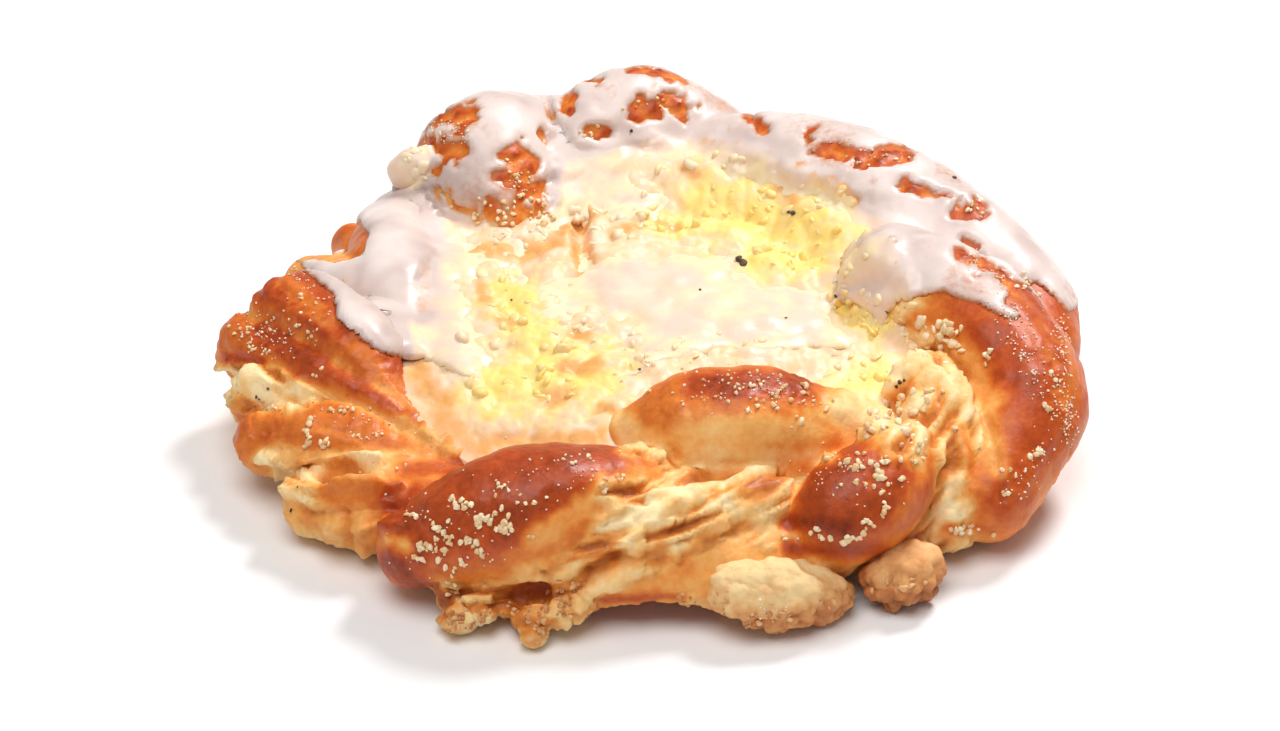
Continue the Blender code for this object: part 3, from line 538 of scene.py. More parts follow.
def pixel_hit(tree, x, y):
    """The place and normal of the surface seen at that pixel."""
    across = (x - PHOTO_SIZE[0] / 2) / FOCUS_PIXELS
    down = (y - PHOTO_SIZE[1] / 2) / FOCUS_PIXELS
    ray = across * Vector((1, 0, 0)) - down * UP - BACK
    return tree.ray_cast(EYE, ray.normalized())[:2]


class Picture:
    """Where a mesh's vertices fall in the photograph, to place marks by their pixels."""

    def __init__(self, points, normals, tree):
        away = points - np.array(AIM)
        self.depth = DISTANCE - away @ np.array(BACK)
        self.x = PHOTO_SIZE[0] / 2 + FOCUS_PIXELS * away[:, 0] / self.depth
        self.y = PHOTO_SIZE[1] / 2 - FOCUS_PIXELS * (away @ np.array(UP)) / self.depth
        toward = split_length(np.array(EYE) - points)[1]
        self.facing = smooth_step(-0.15, 0.10, (normals * toward).sum(1))
        self.tree = tree
        self.wobble = waves(points, (0.6, 0.0028, 41), (0.4, 0.0011, 42))

    def stroke(self, x0, y0, x1, y1, half_width, soft=0.35, wobble=0.5):
        """1 on the mesh under that stroke of the picture, 0 away from it."""
        line = np.array((x1 - x0, y1 - y0), float)
        px, py = self.x - x0, self.y - y0
        share = np.clip((px * line[0] + py * line[1]) / max(line @ line, 1e-6), 0, 1)
        gap = np.hypot(px - share * line[0], py - share * line[1])
        gap = gap / half_width + wobble * self.wobble
        inside = 1 - smooth_step(1 - soft, 1 + soft, gap)
        ends = (0, 0.5, 1) if self.tree else ()
        hits = [pixel_hit(self.tree, mixed(x0, x1, t), mixed(y0, y1, t)) for t in ends]
        depths = [DISTANCE - (hit[0] - AIM).dot(BACK) for hit in hits if hit[0]]
        if depths:
            spare = STROKE_DEPTH + 0.5 * half_width / FOCUS_PIXELS * DISTANCE
            inside *= (self.depth > min(depths) - spare) & (self.depth < max(depths) + spare)
        return inside * self.facing

    def cover(self, strokes, **edge):
        """The most that any of the strokes covers each vertex."""
        return np.maximum.reduce([self.stroke(*stroke, **edge) for stroke in strokes])


# dough


def along(stations, steps=14):
    """Points and radii on a smooth curve through the stations, one row each."""
    rows = np.array([(*ring_point(*place), radius) for *place, radius in stations])
    result = []
    for spot in np.linspace(0, len(rows) - 1, steps):
        k = min(int(spot), len(rows) - 2)
        t = spot - k
        a, b = rows[k], rows[k + 1]
        before = rows[k - 1] if k else 2 * a - b
        after = rows[k + 2] if k + 2 < len(rows) else 2 * b - a
        result.append(0.5 * (
            2 * a + (b - before) * t
            + (2 * before - 5 * a + 4 * b - after) * t**2
            + (3 * a - before - 3 * b + after) * t**3))
    return np.array(result)


def add_tube(bm, rows, sides=20):
    """A tapered sausage along the rows of points and radii, with a ball at each end."""
    rings = []
    for i, row in enumerate(rows):
        ahead = Vector(rows[min(i + 1, len(rows) - 1)][:3] - rows[max(i - 1, 0)][:3])
        side = ahead.cross(Vector((0, 0, 1))).normalized()
        up = side.cross(ahead).normalized()
        ring = []
        for k in range(sides):
            turn = 2 * math.pi * k / sides
            out = side * math.cos(turn) + up * math.sin(turn)
            ring.append(bm.verts.new(Vector(row[:3]) + float(row[3]) * out))
        rings.append(ring)
    add_walls(bm, rings)
    bm.faces.new(rings[0])
    bm.faces.new(rings[-1])
    for row in (rows[0], rows[-1]):
        add_ball(bm, row[:3], float(row[3]))


def add_base(bm, steps=120, sides=24):
    """The lower strand all round and the floor inside it."""
    rings = []
    for i in range(steps):
        ring = []
        for k in range(sides):
            lean = 2 * math.pi * k / sides
            reach = RING_REACH + RING_WIDTH / 2 * math.cos(lean)
            height = RING_HEIGHT / 2 + RING_HEIGHT / 2 * math.sin(lean)
            ring.append(bm.verts.new(ring_point(360 * i / steps, reach, height)))
        rings.append(ring)
    add_walls(bm, rings + rings[:1])
    bmesh.ops.create_cone(
        bm, cap_ends=True, segments=96, radius1=FLOOR_REACH, radius2=FLOOR_REACH, depth=FLOOR_THICKNESS,
        matrix=Matrix.Translation((0, 0, FLOOR_THICKNESS / 2)))


class Field:
    """How far points are outside one shape, which way is out, and how far along it they are."""

    def __init__(self, points):
        self.gap = np.full(len(points), np.inf)
        self.out = np.zeros((len(points), 3))
        self.share = np.zeros(len(points))

    def take(self, gap, out, share=None):
        closer = gap < self.gap
        self.gap[closer] = gap[closer]
        self.out[closer] = out[closer]
        if share is not None:
            self.share[closer] = share[closer]


def tube_field(points, rows):
    field = Field(points)
    for k, (start, end) in enumerate(zip(rows, rows[1:])):
        line = end[:3] - start[:3]
        t = np.clip((points - start[:3]) @ line / (line @ line), 0, 1)
        far, out = split_length(points - start[:3] - t[:, None] * line)
        field.take(far - mixed(start[3], end[3], t), out, (k + t) / (len(rows) - 1))
    return field


def frill_field(points):
    field = Field(points)
    for *place, radius in FRILL:
        far, out = split_length(points - np.array(ring_point(*place)))
        field.take(far - radius, out)
    return field


def base_field(points):
    field = Field(points)
    reach = np.hypot(points[:, 0], points[:, 1])
    level = points[:, 2] - RING_HEIGHT / 2
    wide, high = RING_WIDTH / 2, RING_HEIGHT / 2
    size = np.hypot((reach - RING_REACH) / wide, level / high)
    slope = np.maximum(np.hypot((reach - RING_REACH) / wide**2, level / high**2), 1e-9)
    outward = (reach - RING_REACH) / wide**2 / slope
    far = np.maximum(reach, 1e-9)
    out = [outward * points[:, 0] / far, outward * points[:, 1] / far, level / high**2 / slope]
    field.take((size - 1) * size / slope, np.stack(out, 1))
    floor = np.where(reach < FLOOR_REACH, points[:, 2] - FLOOR_THICKNESS, np.inf)
    field.take(floor, np.tile((0.0, 0.0, 1.0), (len(points), 1)))
    return field


def dough_fields(points, rows):
    fields = {name: tube_field(points, row) for name, row in rows.items()}
    return {**fields, "base": base_field(points), "frill": frill_field(points)}


def joined(fields):
    """The gap and outward direction of all the shapes together, with slightly rounded creases."""
    gaps = np.stack([field.gap for field in fields.values()])
    nearest = gaps.min(0)
    weights = np.exp(-(gaps - nearest) / CREASE_ROUNDING)
    gap = nearest - CREASE_ROUNDING * np.log(weights.sum(0))
    out = sum(weight[:, None] * field.out for weight, field in zip(weights, fields.values()))
    return gap, split_length(out)[1]


def dough_shape():
    """The rope ring as one fine mesh, its creases crisp, with its fields at each vertex."""
    rows = {name: along(stations) for name, stations in LOBES.items()}
    bm = bmesh.new()
    add_base(bm)
    for row in rows.values():
        add_tube(bm, row)
    for *place, radius in FRILL:
        add_ball(bm, ring_point(*place), radius)
    dough = remeshed(object_from("bun_dough", bm), DOUGH_VOXEL)
    points = read(dough)
    for _ in range(2):
        gap, out = joined(dough_fields(points, rows))
        points = points - np.clip(gap, -DOUGH_VOXEL, DOUGH_VOXEL)[:, None] * out
    write_points(dough, points)
    return dough, dough_fields(points, rows)


def sort_fields(fields):
    """The number of each vertex's own shape, and how much nearer that is than the next one."""
    gaps = np.stack([field.gap for field in fields.values()])
    order = np.argsort(gaps, axis=0)
    first, second = np.take_along_axis(gaps, order[:2], 0)
    return order[0], second - first


def streak_noise(fields, owned):
    """Ridges along the stretched strands: noise that changes fast round a lobe and slowly along it."""
    total = np.zeros(len(owned["base"]))
    for number, (name, mine) in enumerate(owned.items()):
        if name not in STREAKS or not mine.any():
            continue
        out, share = fields[name].out[mine] * 2.1, fields[name].share[mine] * 1.3
        ridges = np.array([
            noise.noise((a * 1.9, b * 1.9, c * 1.5)) + 0.6 * noise.noise((a * 4.5, b * 4.5, c * 2.5))
            for a, b, c in np.column_stack([out[:, 0], out[:, 2], share + number]).tolist()])
        total[mine] = STREAKS[name] * ridges
    return total


def flakes(points):
    """Torn layers that climb round the ring as the strands do: 1 on a ridge, below 0 between."""
    reach = np.hypot(points[:, 0], points[:, 1])
    arc = np.arctan2(-points[:, 0], points[:, 1]) * RING_REACH
    climb = points[:, 2] - reach
    across = (climb + STRAND_SLOPE * arc) / FLAKE_WIDTH
    course = (arc - STRAND_SLOPE * climb) / FLAKE_LENGTH
    return np.array([
        1 - 2.2 * abs(noise.noise((a, b, c)) + 0.35 * noise.noise((2.7 * a, 2 * b, c + 7)))
        for a, b, c in np.stack([across, course, reach / FLAKE_LENGTH], 1).tolist()])


def lifted_front(points):
    """Presses the foot of the front edge in, where the bun lifted off the tray."""
    middle, (across, deep, high) = FRONT_GAP
    centre = ring_point(*middle)
    room = 1 - ((points[:, 0] - centre.x) / across) ** 2 - (points[:, 2] / high) ** 2
    back = centre.y + deep * np.sqrt(np.maximum(room, 0))
    pressed = points.copy()
    pressed[:, 1] = np.where(room > 0, np.maximum(points[:, 1], back), points[:, 1])
    return pressed, pressed[:, 1] > points[:, 1]


def make_dough():
    dough, fields = dough_shape()
    points, normals = read(dough), read(dough, "normal")
    picture = Picture(points, normals, surface_tree(dough))
    own, crease = sort_fields(fields)
    owned = {name: own == number for number, name in enumerate(fields)}

    crest, seam = np.array([CRUST[name] for name in fields])[own].T
    pale_seam = np.exp(-crease / seam)
    baked = 0.75 + 0.25 * smooth_step(-0.4, 0.5, normals[:, 2])
    browning = mixed(crest * baked, SEAM_BROWNING, 0.85 * pale_seam)
    for *stroke, level in CRUST_STROKES:
        browning = mixed(browning, level, 0.9 * picture.stroke(*stroke, soft=0.55, wobble=0.8))
    browning = relaxed(dough, browning, 2)

    torn = (1 - smooth_step(*TORN_BROWNING, browning)) * ~owned["front_inner"]
    layered = owned["front_torn"] | owned["front_low"]
    torn = np.maximum(torn, 0.7 * layered * (1 - smooth_step(*LAYERED_BROWNING, browning)))
    frill = owned["frill"].astype(float)
    flake = flakes(points)
    fine_grit = 0.45 - cells(points, 0.0011, 5)
    crumbly = 0.45 - cells(points, 0.0024, 4) + 0.5 * fine_grit
    shift = waves(points, (0.0005, 0.009, 1), (0.0003, 0.0045, 2))
    shift += streak_noise(fields, owned)
    shift += waves(points, (0.00008, 0.0016, 3))
    shift += torn * (FLAKE_RISE * flake + CRUMB_RISE * crumbly) + frill * FRILL_RISE * crumbly
    shift -= SEAM_DEPTH * pale_seam * (1 + waviness(points, 0.002, 6))
    for *stroke, rise in RELIEF_STROKES:
        shift += rise * picture.stroke(*stroke, soft=0.7, wobble=0.5)
    for strokes, grit, rise, tint, edge in (
            (BARE_STROKES, crumbly, 0.0009, 0.5, {"soft": 0.9}),
            (GRITTY_STROKES, fine_grit, 0.0005, 0.22, {"soft": 0.9, "wobble": 0.9})):
        for stroke in strokes:
            share = picture.stroke(*stroke, **edge)
            shift += rise * grit * share
            browning += tint * share * grit
    # In the torn dough the valleys between the layers and the creases between crumbs are browner: partly
    # the golden crust between pale flake edges, partly painted shade in the hollows.
    blotches_and_painted_shade = 0.18 * waviness(points, 0.0042, 7) - 0.06 * crumbly
    browning = browning + torn * (mixed(0.32, -0.10, smooth_step(-0.4, 0.6, flake)) + blotches_and_painted_shade)

    foot = smooth_step(0, FOOT_HEIGHT, points[:, 2])
    points, under = lifted_front(points + normals * (foot * shift)[:, None])
    points[:, 2] = np.maximum(points[:, 2], 0)
    write_points(dough, points)
    # The pressed-in gap under the front edge takes that dark browning as painted shade.
    set_attribute(dough, "browning", np.where(under, GAP_PAINTED_SHADE, browning))
    set_attribute(dough, "torn", np.maximum(torn, frill))
    return dough


# filling


def disc_grid(steps):
    """A square grid pressed into a disc of radius 1, as an array of rows of (x, y)."""
    line = np.linspace(-1, 1, steps)
    u, v = np.meshgrid(line, line, indexing="ij")
    return np.stack([u * np.sqrt(1 - v * v / 2), v * np.sqrt(1 - u * u / 2)], 2)


def closed_sheet(name, steps, top, bottom):
    """A closed solid between two square grids of points, each given row by row."""
    half = steps * steps
    number = np.arange(half).reshape(steps, steps)
    corners = [number[:-1, :-1], number[1:, :-1], number[1:, 1:], number[:-1, 1:]]
    quads = np.stack(corners, 2).reshape(-1, 4)
    faces = np.stack([quads, half + quads[:, [0, 3, 2, 1]]], 1).reshape(-1, 4)
    rim = np.concatenate([number[:, 0], number[-1, 1:], number[-2::-1, -1], number[0, -2:0:-1]])
    ahead = np.roll(rim, -1)
    walls = np.stack([rim, half + rim, half + ahead, ahead], 1)
    return object_of(name, np.concatenate([top, bottom]), np.concatenate([faces, walls]).tolist())


def filling_level(x, y):
    """The filling's height without its curds, and how far out it is, 0 to 1."""
    reach = np.hypot(x, y)
    out = np.minimum(1.0, reach / FILLING_REACH)
    azimuth = np.degrees(np.arctan2(y, x))
    corner = (azimuth - FILLING_CORNER_AZIMUTH) / FILLING_CORNER_WIDTH
    sink = FILLING_CORNER_SINK * np.exp(-(corner**2))
    heap = FILLING_HEAP_RISE * smooth_step(*FILLING_HEAP_REACH, reach)
    heap = heap * smooth_step(*FILLING_HEAP_START, azimuth) * (1 - smooth_step(*FILLING_HEAP_END, azimuth))
    return FILLING_TOP + heap - (FILLING_RIM_DROP + sink) * out**3, out


def make_filling(steps=220):
    plan = (disc_grid(steps) * FILLING_REACH).reshape(-1, 2)
    none = np.zeros(len(plan))
    flat = np.column_stack([plan, none])
    level, out = filling_level(*plan.T)
    base = np.column_stack([plan, level])
    bottom = np.column_stack([plan, none + FLOOR_THICKNESS + FLOOR_CLEARANCE])
    filling = closed_sheet("bun_filling", steps, base, bottom)
    picture = Picture(base, np.tile((0.0, 0.0, 1.0), (len(flat), 1)), surface_tree(filling))
    warped = flat + 0.0009 * np.column_stack([waviness(flat, 0.003, 21), waviness(flat, 0.003, 22), none])
    curds = lumpiness(warped, (0.0015, 0.0046, 23), (0.0008, 0.0024, 24))
    curds += lumpiness(flat, (0.0003, 0.0012, 25))
    curds = curds * (1 - 0.75 * picture.cover(POOL_STROKES, soft=0.6)) + waves(flat, (0.0008, 0.0075, 26))
    for *stroke, rise in DENT_STROKES:
        curds += rise * picture.stroke(*stroke, soft=0.9, wobble=0.9)
    base[:, 2] += curds * (1 - out**6)
    write_points(filling, np.concatenate([base, bottom]))
    for name, strokes in (("yellow", YELLOW_STROKES), ("peach", PEACH_STROKES)):
        set_attribute(filling, name, np.tile(picture.cover(strokes, soft=0.8, wobble=0.9), 2))
    return filling


# streusel, crumbs and grains


def lump_body(name, place, radii, turn, tilt, baked):
    """A crumbly lump of streusel, pale on top and browned below."""
    bm = bmesh.new()
    centre = ring_point(*place)
    lay = Matrix.Rotation(math.radians(turn), 3, "Z") @ Matrix.Rotation(math.radians(tilt), 3, "Y")
    at = Matrix.Translation(centre) @ lay.to_4x4() @ Matrix.Diagonal((*radii, 1))
    bmesh.ops.create_icosphere(bm, subdivisions=6, radius=1, matrix=at)
    lump = object_from(name, bm)
    points = read(lump)
    away = split_length(points - np.array(centre))[1]
    below = smooth_step(0.55, -0.3, away[:, 2])
    granular = lumpiness(points, (1.4, 0.0022, 51), (0.9, 0.0012, 52))
    rough = LUMP_WAVE_RISE * waves(points, (1, 0.0042, 3), (0.6, 0.0020, 4))
    rough += LUMP_GRAIN_RISE * mixed(0.35, 1.0, below) * granular
    points = points + away * rough[:, None]
    points[:, 2] = np.maximum(points[:, 2], LUMP_CLEARANCE)
    write_points(lump, points)
    browned = waves(points, (0.2, 0.003, 53), start=0.50 * below + baked)
    set_attribute(lump, "browning", browned - 0.22 * granular * mixed(0.4, 1, below))
    return lump


def grains(name, spots, detail, lift=0.25, shades=None):
    """One mesh of broken grains, each a place, the surface's normal and a radius."""
    bm = bmesh.new()
    bmesh.ops.create_icosphere(bm, subdivisions=detail, radius=1)
    ball = np.array([vert.co for vert in bm.verts])
    corners = np.array([[vert.index for vert in face.verts] for face in bm.faces])
    bm.free()
    draw = np.random.default_rng(len(spots) + detail)
    count, size = len(spots), len(ball)
    middles = np.array([place + lift * radius * normal for place, normal, radius in spots])
    radii = np.array([radius for _, _, radius in spots])
    bodies = ball[None] * draw.uniform(0.60, 1.35, (count, 1, 3)) * draw.normal(1, 0.10, (count, size, 1))
    for _ in range(BREAKS):
        way = draw.normal(size=(count, 1, 3))
        way /= np.linalg.norm(way, axis=2)[:, :, None]
        beyond = (bodies * way).sum(2) - draw.uniform(0.30, 0.80, (count, 1))
        bodies = bodies - 0.85 * np.maximum(beyond, 0)[:, :, None] * way
    points = (middles[:, None] + radii[:, None, None] * bodies).reshape(-1, 3)
    faces = (np.arange(count)[:, None, None] * size + corners[None]).reshape(-1, 3)
    obj = object_of(name, points, faces.tolist())
    shades = draw.uniform(0, 1, count) if shades is None else shades
    set_attribute(obj, "shade", np.repeat(shades, size))
    return obj


def cast(tree, aim, count, low, high, scale):
    """The place, normal and radius of each grain seen at the pixels that aim draws."""
    spots = []
    for _ in range(count):
        place, normal = pixel_hit(tree, *aim())
        if place:
            spots.append((place, normal, scale * random.uniform(low, high) * MM))
    return spots


def cast_cluster(tree, x, y, spread_x, spread_y, *counts):
    return cast(tree, lambda: (random.gauss(x, spread_x), random.gauss(y, spread_y)), *counts, CRUMB_SCALE)


def cast_stroke(tree, x0, y0, x1, y1, half_width, *counts):
    spread = half_width / STROKE_SCATTER

    def aim():
        share = random.random()
        x = mixed(x0, x1, share) + random.gauss(0, spread)
        return x, mixed(y0, y1, share) + random.gauss(0, spread)

    return cast(tree, aim, *counts, GRAIN_SCALE)


def yellow_shades(spots):
    """How yellow the filling is at each place, with some difference from lump to lump."""
    places, normals, _ = zip(*spots)
    yellow = Picture(np.array(places), np.array(normals), None).cover(YELLOW_STROKES, soft=0.8)
    return np.clip(yellow * 0.8 + np.array([random.uniform(-0.1, 0.35) for _ in spots]), 0, 1)


# icing


def joined_copy(name, *objects):
    """A new object with copies of the objects' meshes in one."""
    bm = bmesh.new()
    for obj in objects:
        bm.from_mesh(obj.data)
    return object_from(name, bm)


def loop_depth(x, y, loop):
    """How many pixels each point is inside a closed loop of pixels, below 0 outside."""
    nearest = np.full(len(x), np.inf)
    inside = np.zeros(len(x), bool)
    for (x0, y0), (x1, y1) in zip(loop, loop[1:] + loop[:1]):
        ax, ay = x1 - x0, y1 - y0
        share = np.clip(((x - x0) * ax + (y - y0) * ay) / (ax * ax + ay * ay), 0, 1)
        nearest = np.minimum(nearest, np.hypot(x - x0 - share * ax, y - y0 - share * ay))
        if y0 != y1:
            inside ^= ((y0 > y) != (y1 > y)) & (x < x0 + (y - y0) * ax / ay)
    return np.where(inside, nearest, -nearest)


def arc_depth(points):
    """How far each point is inside the icing's arc as seen from above, below 0 outside."""
    azimuths, inners, outers = np.array(ICING_EDGES).T
    start, end = azimuths[0], azimuths[-1]
    azimuth = (np.degrees(np.arctan2(points[:, 1], points[:, 0])) - start) % 360 + start
    reach = np.hypot(points[:, 0], points[:, 1])
    inner, outer = np.interp(azimuth, azimuths, inners), np.interp(azimuth, azimuths, outers)
    ends = np.minimum(azimuth - start, end - azimuth) * math.pi / 180 * reach
    return np.minimum(np.minimum(reach - inner, outer - reach), ends)


def kept_faces(obj, keep):
    """Drops the vertices not kept, and their faces."""
    bm = bmesh.new()
    bm.from_mesh(obj.data)
    bmesh.ops.delete(bm, geom=[vert for vert in bm.verts if not keep[vert.index]], context="VERTS")
    bm.to_mesh(obj.data)
    bm.free()


def icing_extent(picture, points):
    """How far each point is inside the icing: by the picture where it shows, or else by the arc."""
    seen = loop_depth(picture.x, picture.y, ICING_OUTLINE) * (DISTANCE / FOCUS_PIXELS)
    above = points[:, 2] - ICING_FOOT + 0.0015 * waviness(points, 0.006, 33)
    inside = mixed(np.minimum(arc_depth(points), above), seen, picture.facing)
    return inside + waves(points, (0.0007, 0.0055, 31), (0.0003, 0.0022, 32))


def make_icing(dough, filling):
    """A skin of icing that bridges the creases, thin or missing where the crust shows through."""
    bm = bmesh.new()
    for place, radius in ICING_DROPS:
        add_ball(bm, ring_point(*place), radius)
    drops = object_from("icing_drops", bm)
    icing = remeshed(joined_copy("bun_icing", dough, filling, drops), ICING_VOXEL)
    bpy.data.objects.remove(drops)
    covered = read(icing)
    smoother = relaxed(icing, covered, ICING_SMOOTHING)
    write_points(icing, smoother)
    normals = read(icing, "normal")
    picture = Picture(smoother, normals, surface_tree(icing))
    inside = np.clip(icing_extent(picture, smoother) / ICING_EDGE_WIDTH, 0, 1)

    full = ICING_THICKNESS * waves(smoother, (0.5, 0.008, 34), (0.3, 0.003, 35), start=1)
    sheet = np.zeros(len(full))
    for *stroke, thickness in SHEET_STROKES:
        share = picture.stroke(*stroke, soft=0.8, wobble=0.3)
        sheet = np.maximum(sheet, share)
        full = mixed(full, thickness, share)
    on_filling = np.hypot(smoother[:, 0], smoother[:, 1]) < ON_FILLING_REACH
    full = np.where(on_filling, 0.5 * full, full)
    pool = waves(smoother, (0.0006, 0.0060, 39), (0.0004, 0.0026, 40), start=POOL_THICKNESS)
    for stroke in POOL_STROKES:
        full = mixed(full, pool, picture.stroke(*stroke, soft=0.8, wobble=0.9))
    flat = smooth_step(0.45, 0.75, normals[:, 2])
    for stroke in FILLING_STROKES:
        full = mixed(full, BARE_FILLING_LIFT, flat * picture.stroke(*stroke, soft=1.0, wobble=0.9))
    bare = picture.cover(BARE_STROKES, soft=0.8, wobble=0.9)
    ragged = waves(smoother, (0.8, 0.0026, 36), (0.8, 0.0013, 37), start=bare)
    full = mixed(full, BARE_CRUST_LIFT, smooth_step(0.34, 0.62, ragged) * (bare > 0))
    lift = mixed(-ICING_SINK, relaxed(icing, full, 1), np.sqrt(1 - (1 - inside) ** 2))
    for place, radius in ICING_DROPS:
        near = np.linalg.norm(covered - np.array(ring_point(*place)), axis=1) < DROP_REACH * radius
        lift = np.where(near, ICING_THICKNESS + 0.0005 * waviness(covered, 0.0022, 38), lift)

    hung = mixed(smoother, relaxed(icing, smoother, SHEET_SMOOTHING), sheet[:, None])
    spare = ((hung - covered) * normals).sum(1)
    draped = relaxed(icing, np.where((spare > 0)[:, None], hung, covered), 3)
    write_points(icing, draped)
    write_points(icing, draped + read(icing, "normal") * lift[:, None])
    kept_faces(icing, lift > -0.9 * ICING_SINK)
    solid = icing.modifiers.new("skin", "SOLIDIFY")
    solid.thickness = ICING_SKIN
    solid.offset = -1
    return apply_modifiers(icing)


def set_cover(icing, dough, filling):
    """How thickly the icing covers what is under it, and how brown that is, for its colour."""
    under = len(dough.data.polygons)
    tree = surface_tree(dough, filling)
    browning = np.empty(len(dough.data.vertices), np.float32)
    dough.data.attributes["browning"].data.foreach_get("value", browning)
    covers, browns = [], []
    for vertex in icing.data.vertices:
        spot, normal, index, _ = tree.find_nearest(vertex.co)
        covers.append((vertex.co - spot).dot(normal))
        drop = any(
            (vertex.co - ring_point(*place)).length < DROP_COLOUR_REACH * radius
            for place, radius in ICING_DROPS)
        baked = index < under and not drop
        browns.append(browning[dough.data.polygons[index].vertices[0]] if baked else 0.0)
    set_attribute(icing, "cover", np.array(covers) / MM)
    set_attribute(icing, "browning", relaxed(icing, np.array(browns, float), 14))


# materials


def colour(red, green, blue):
    """A colour given as a screen's 0 to 255, in linear light."""
    return (*(((c / 255 + 0.055) / 1.055) ** 2.4 if c > 10 else c / 3294.6 for c in (red, green, blue)), 1)


def new_material(name):
    made = bpy.data.materials.new(name)
    made.use_nodes = True
    return made, made.node_tree, made.node_tree.nodes["Principled BSDF"]


def fill(tree, made, inputs):
    """Links a node's inputs to the sockets given for them, or sets their values."""
    for key, value in inputs.items():
        if isinstance(value, bpy.types.NodeSocket):
            tree.links.new(value, made.inputs[key])
        else:
            made.inputs[key].default_value = value


def node(tree, kind, inputs, **settings):
    made = tree.nodes.new(kind)
    for key, value in settings.items():
        setattr(made, key, value)
    fill(tree, made, inputs)
    return made


def ramp(tree, value, *stops):
    """A colour by a value: the place of each stop and its colour."""
    made = node(tree, "ShaderNodeValToRGB", {"Fac": value})
    elements = made.color_ramp.elements
    while len(elements) < len(stops):
        elements.new(0.5)
    for element, (place, *shade) in zip(elements, stops):
        element.position = place
        element.color = colour(*shade)
    return made.outputs["Color"]


def mix(tree, share, low, high):
    """A colour between two others."""
    return node(tree, "ShaderNodeMix", {"Factor": share, 6: low, 7: high}, data_type="RGBA").outputs[2]


def attribute(tree, name):
    return node(tree, "ShaderNodeAttribute", {}, attribute_name=name).outputs["Fac"]


def noise_value(tree, size, detail):
    place = node(tree, "ShaderNodeTexCoord", {}).outputs["Object"]
    made = node(tree, "ShaderNodeTexNoise", {"Vector": place, "Scale": 1 / size, "Detail": detail})
    return made.outputs["Fac"]


def added(tree, a, b, clamp=False):
    return node(tree, "ShaderNodeMath", {0: a, 1: b}, operation="ADD", use_clamp=clamp).outputs[0]


def map_range(tree, value, inputs, **settings):
    return node(tree, "ShaderNodeMapRange", {"Value": value, **inputs}, **settings).outputs["Result"]


def scaled(tree, value, low, high):
    """A value from 0 to 1 stretched to run from low to high."""
    return map_range(tree, value, {"To Min": low, "To Max": high})


def mottled(tree, value, *bands):
    """A value with noise added: the size, the detail and the reach of each band."""
    for size, detail, reach in bands:
        value = added(tree, value, scaled(tree, noise_value(tree, size, detail), -reach, reach))
    return value


def finish_shader(tree, shader, inputs, subsurface, bump=None):
    """Sets the shader: its inputs, its subsurface weight, scale and radii, and its finest relief."""
    fill(tree, shader, inputs)
    for key, value in zip(("Weight", "Scale", "Radius"), subsurface):
        fill(tree, shader, {"Subsurface " + key: value})
    if bump:
        strength, height = bump
        relief = node(tree, "ShaderNodeBump", {
            "Strength": strength, "Distance": BUMP_DEPTH, "Height": height})
        fill(tree, shader, {"Normal": relief.outputs["Normal"]})


def dough_material():
    made, tree, shader = new_material("baked_dough")
    level = mottled(
        tree, attribute(tree, "browning"), (0.0065, 3, 0.13), (0.0026, 3, 0.10), (0.0010, 3, 0.10))
    level = added(tree, level, 0.0, True)
    crust = ramp(
        tree, level, (0.00, 252, 230, 184), (0.16, 249, 211, 146), (0.34, 242, 176, 94),
        (0.54, 224, 126, 44), (0.76, 188, 76, 22), (1.00, 118, 38, 12))
    crumb = ramp(
        tree, level, (0.00, 251, 224, 172), (0.16, 244, 194, 122), (0.34, 226, 140, 58),
        (0.62, 170, 86, 32))
    finish_shader(tree, shader, {
        "Base Color": mix(tree, attribute(tree, "torn"), crust, crumb),
        "Roughness": scaled(tree, level, 0.70, 0.36), "Specular IOR Level": 0.28,
        "Coat Weight": 0.10, "Coat Roughness": 0.20,
    }, (0.10, 0.0012, (1.0, 0.5, 0.25)), (
        0.40, added(tree, noise_value(tree, 0.0007, 4), noise_value(tree, 0.0022, 2))))
    return made


def filling_material():
    made, tree, shader = new_material("custard")
    cloud = scaled(tree, noise_value(tree, 0.0032, 3), -0.75, 0.55)
    cream = ramp(
        tree, noise_value(tree, 0.0050, 2), (0.30, 240, 212, 186), (0.55, 243, 204, 158),
        (0.75, 240, 215, 193))
    share = added(tree, attribute(tree, "yellow"), cloud, True)
    shade = mix(tree, share, cream, colour(253, 219, 122))
    thin_cloud = node(tree, "ShaderNodeMath", {0: cloud, 1: 0.6}, operation="MULTIPLY").outputs[0]
    share = added(tree, attribute(tree, "peach"), thin_cloud, True)
    finish_shader(tree, shader, {
        "Base Color": mix(tree, share, shade, colour(232, 168, 96)),
        "Roughness": scaled(tree, noise_value(tree, 0.002, 2), 0.30, 0.60),
    }, (0.35, 0.0018, (1.0, 0.8, 0.45)), (0.3, noise_value(tree, 0.0008, 3)))
    return made


def streusel_material():
    made, tree, shader = new_material("streusel")
    level = mottled(tree, attribute(tree, "browning"), (0.0012, 3, 0.2))
    finish_shader(tree, shader, {
        "Base Color": ramp(
            tree, level, (0.00, 238, 204, 146), (0.26, 226, 168, 104), (0.56, 200, 126, 68),
            (1.00, 150, 84, 40)),
        "Roughness": scaled(tree, noise_value(tree, 0.001, 2), 0.55, 0.85),
    }, (0.12, 0.0010), (0.5, noise_value(tree, 0.0006, 4)))
    return made


def grain_material(name, low, high, roughness):
    """Grains that differ in shade from one to the next between two colours."""
    made, tree, shader = new_material(name)
    level = mottled(tree, attribute(tree, "shade"), (0.0006, 2, 0.2))
    finish_shader(tree, shader, {
        "Base Color": ramp(tree, level, (0.0, *low), (1.0, *high)), "Roughness": roughness,
    }, (0.15, 0.0008))
    return made


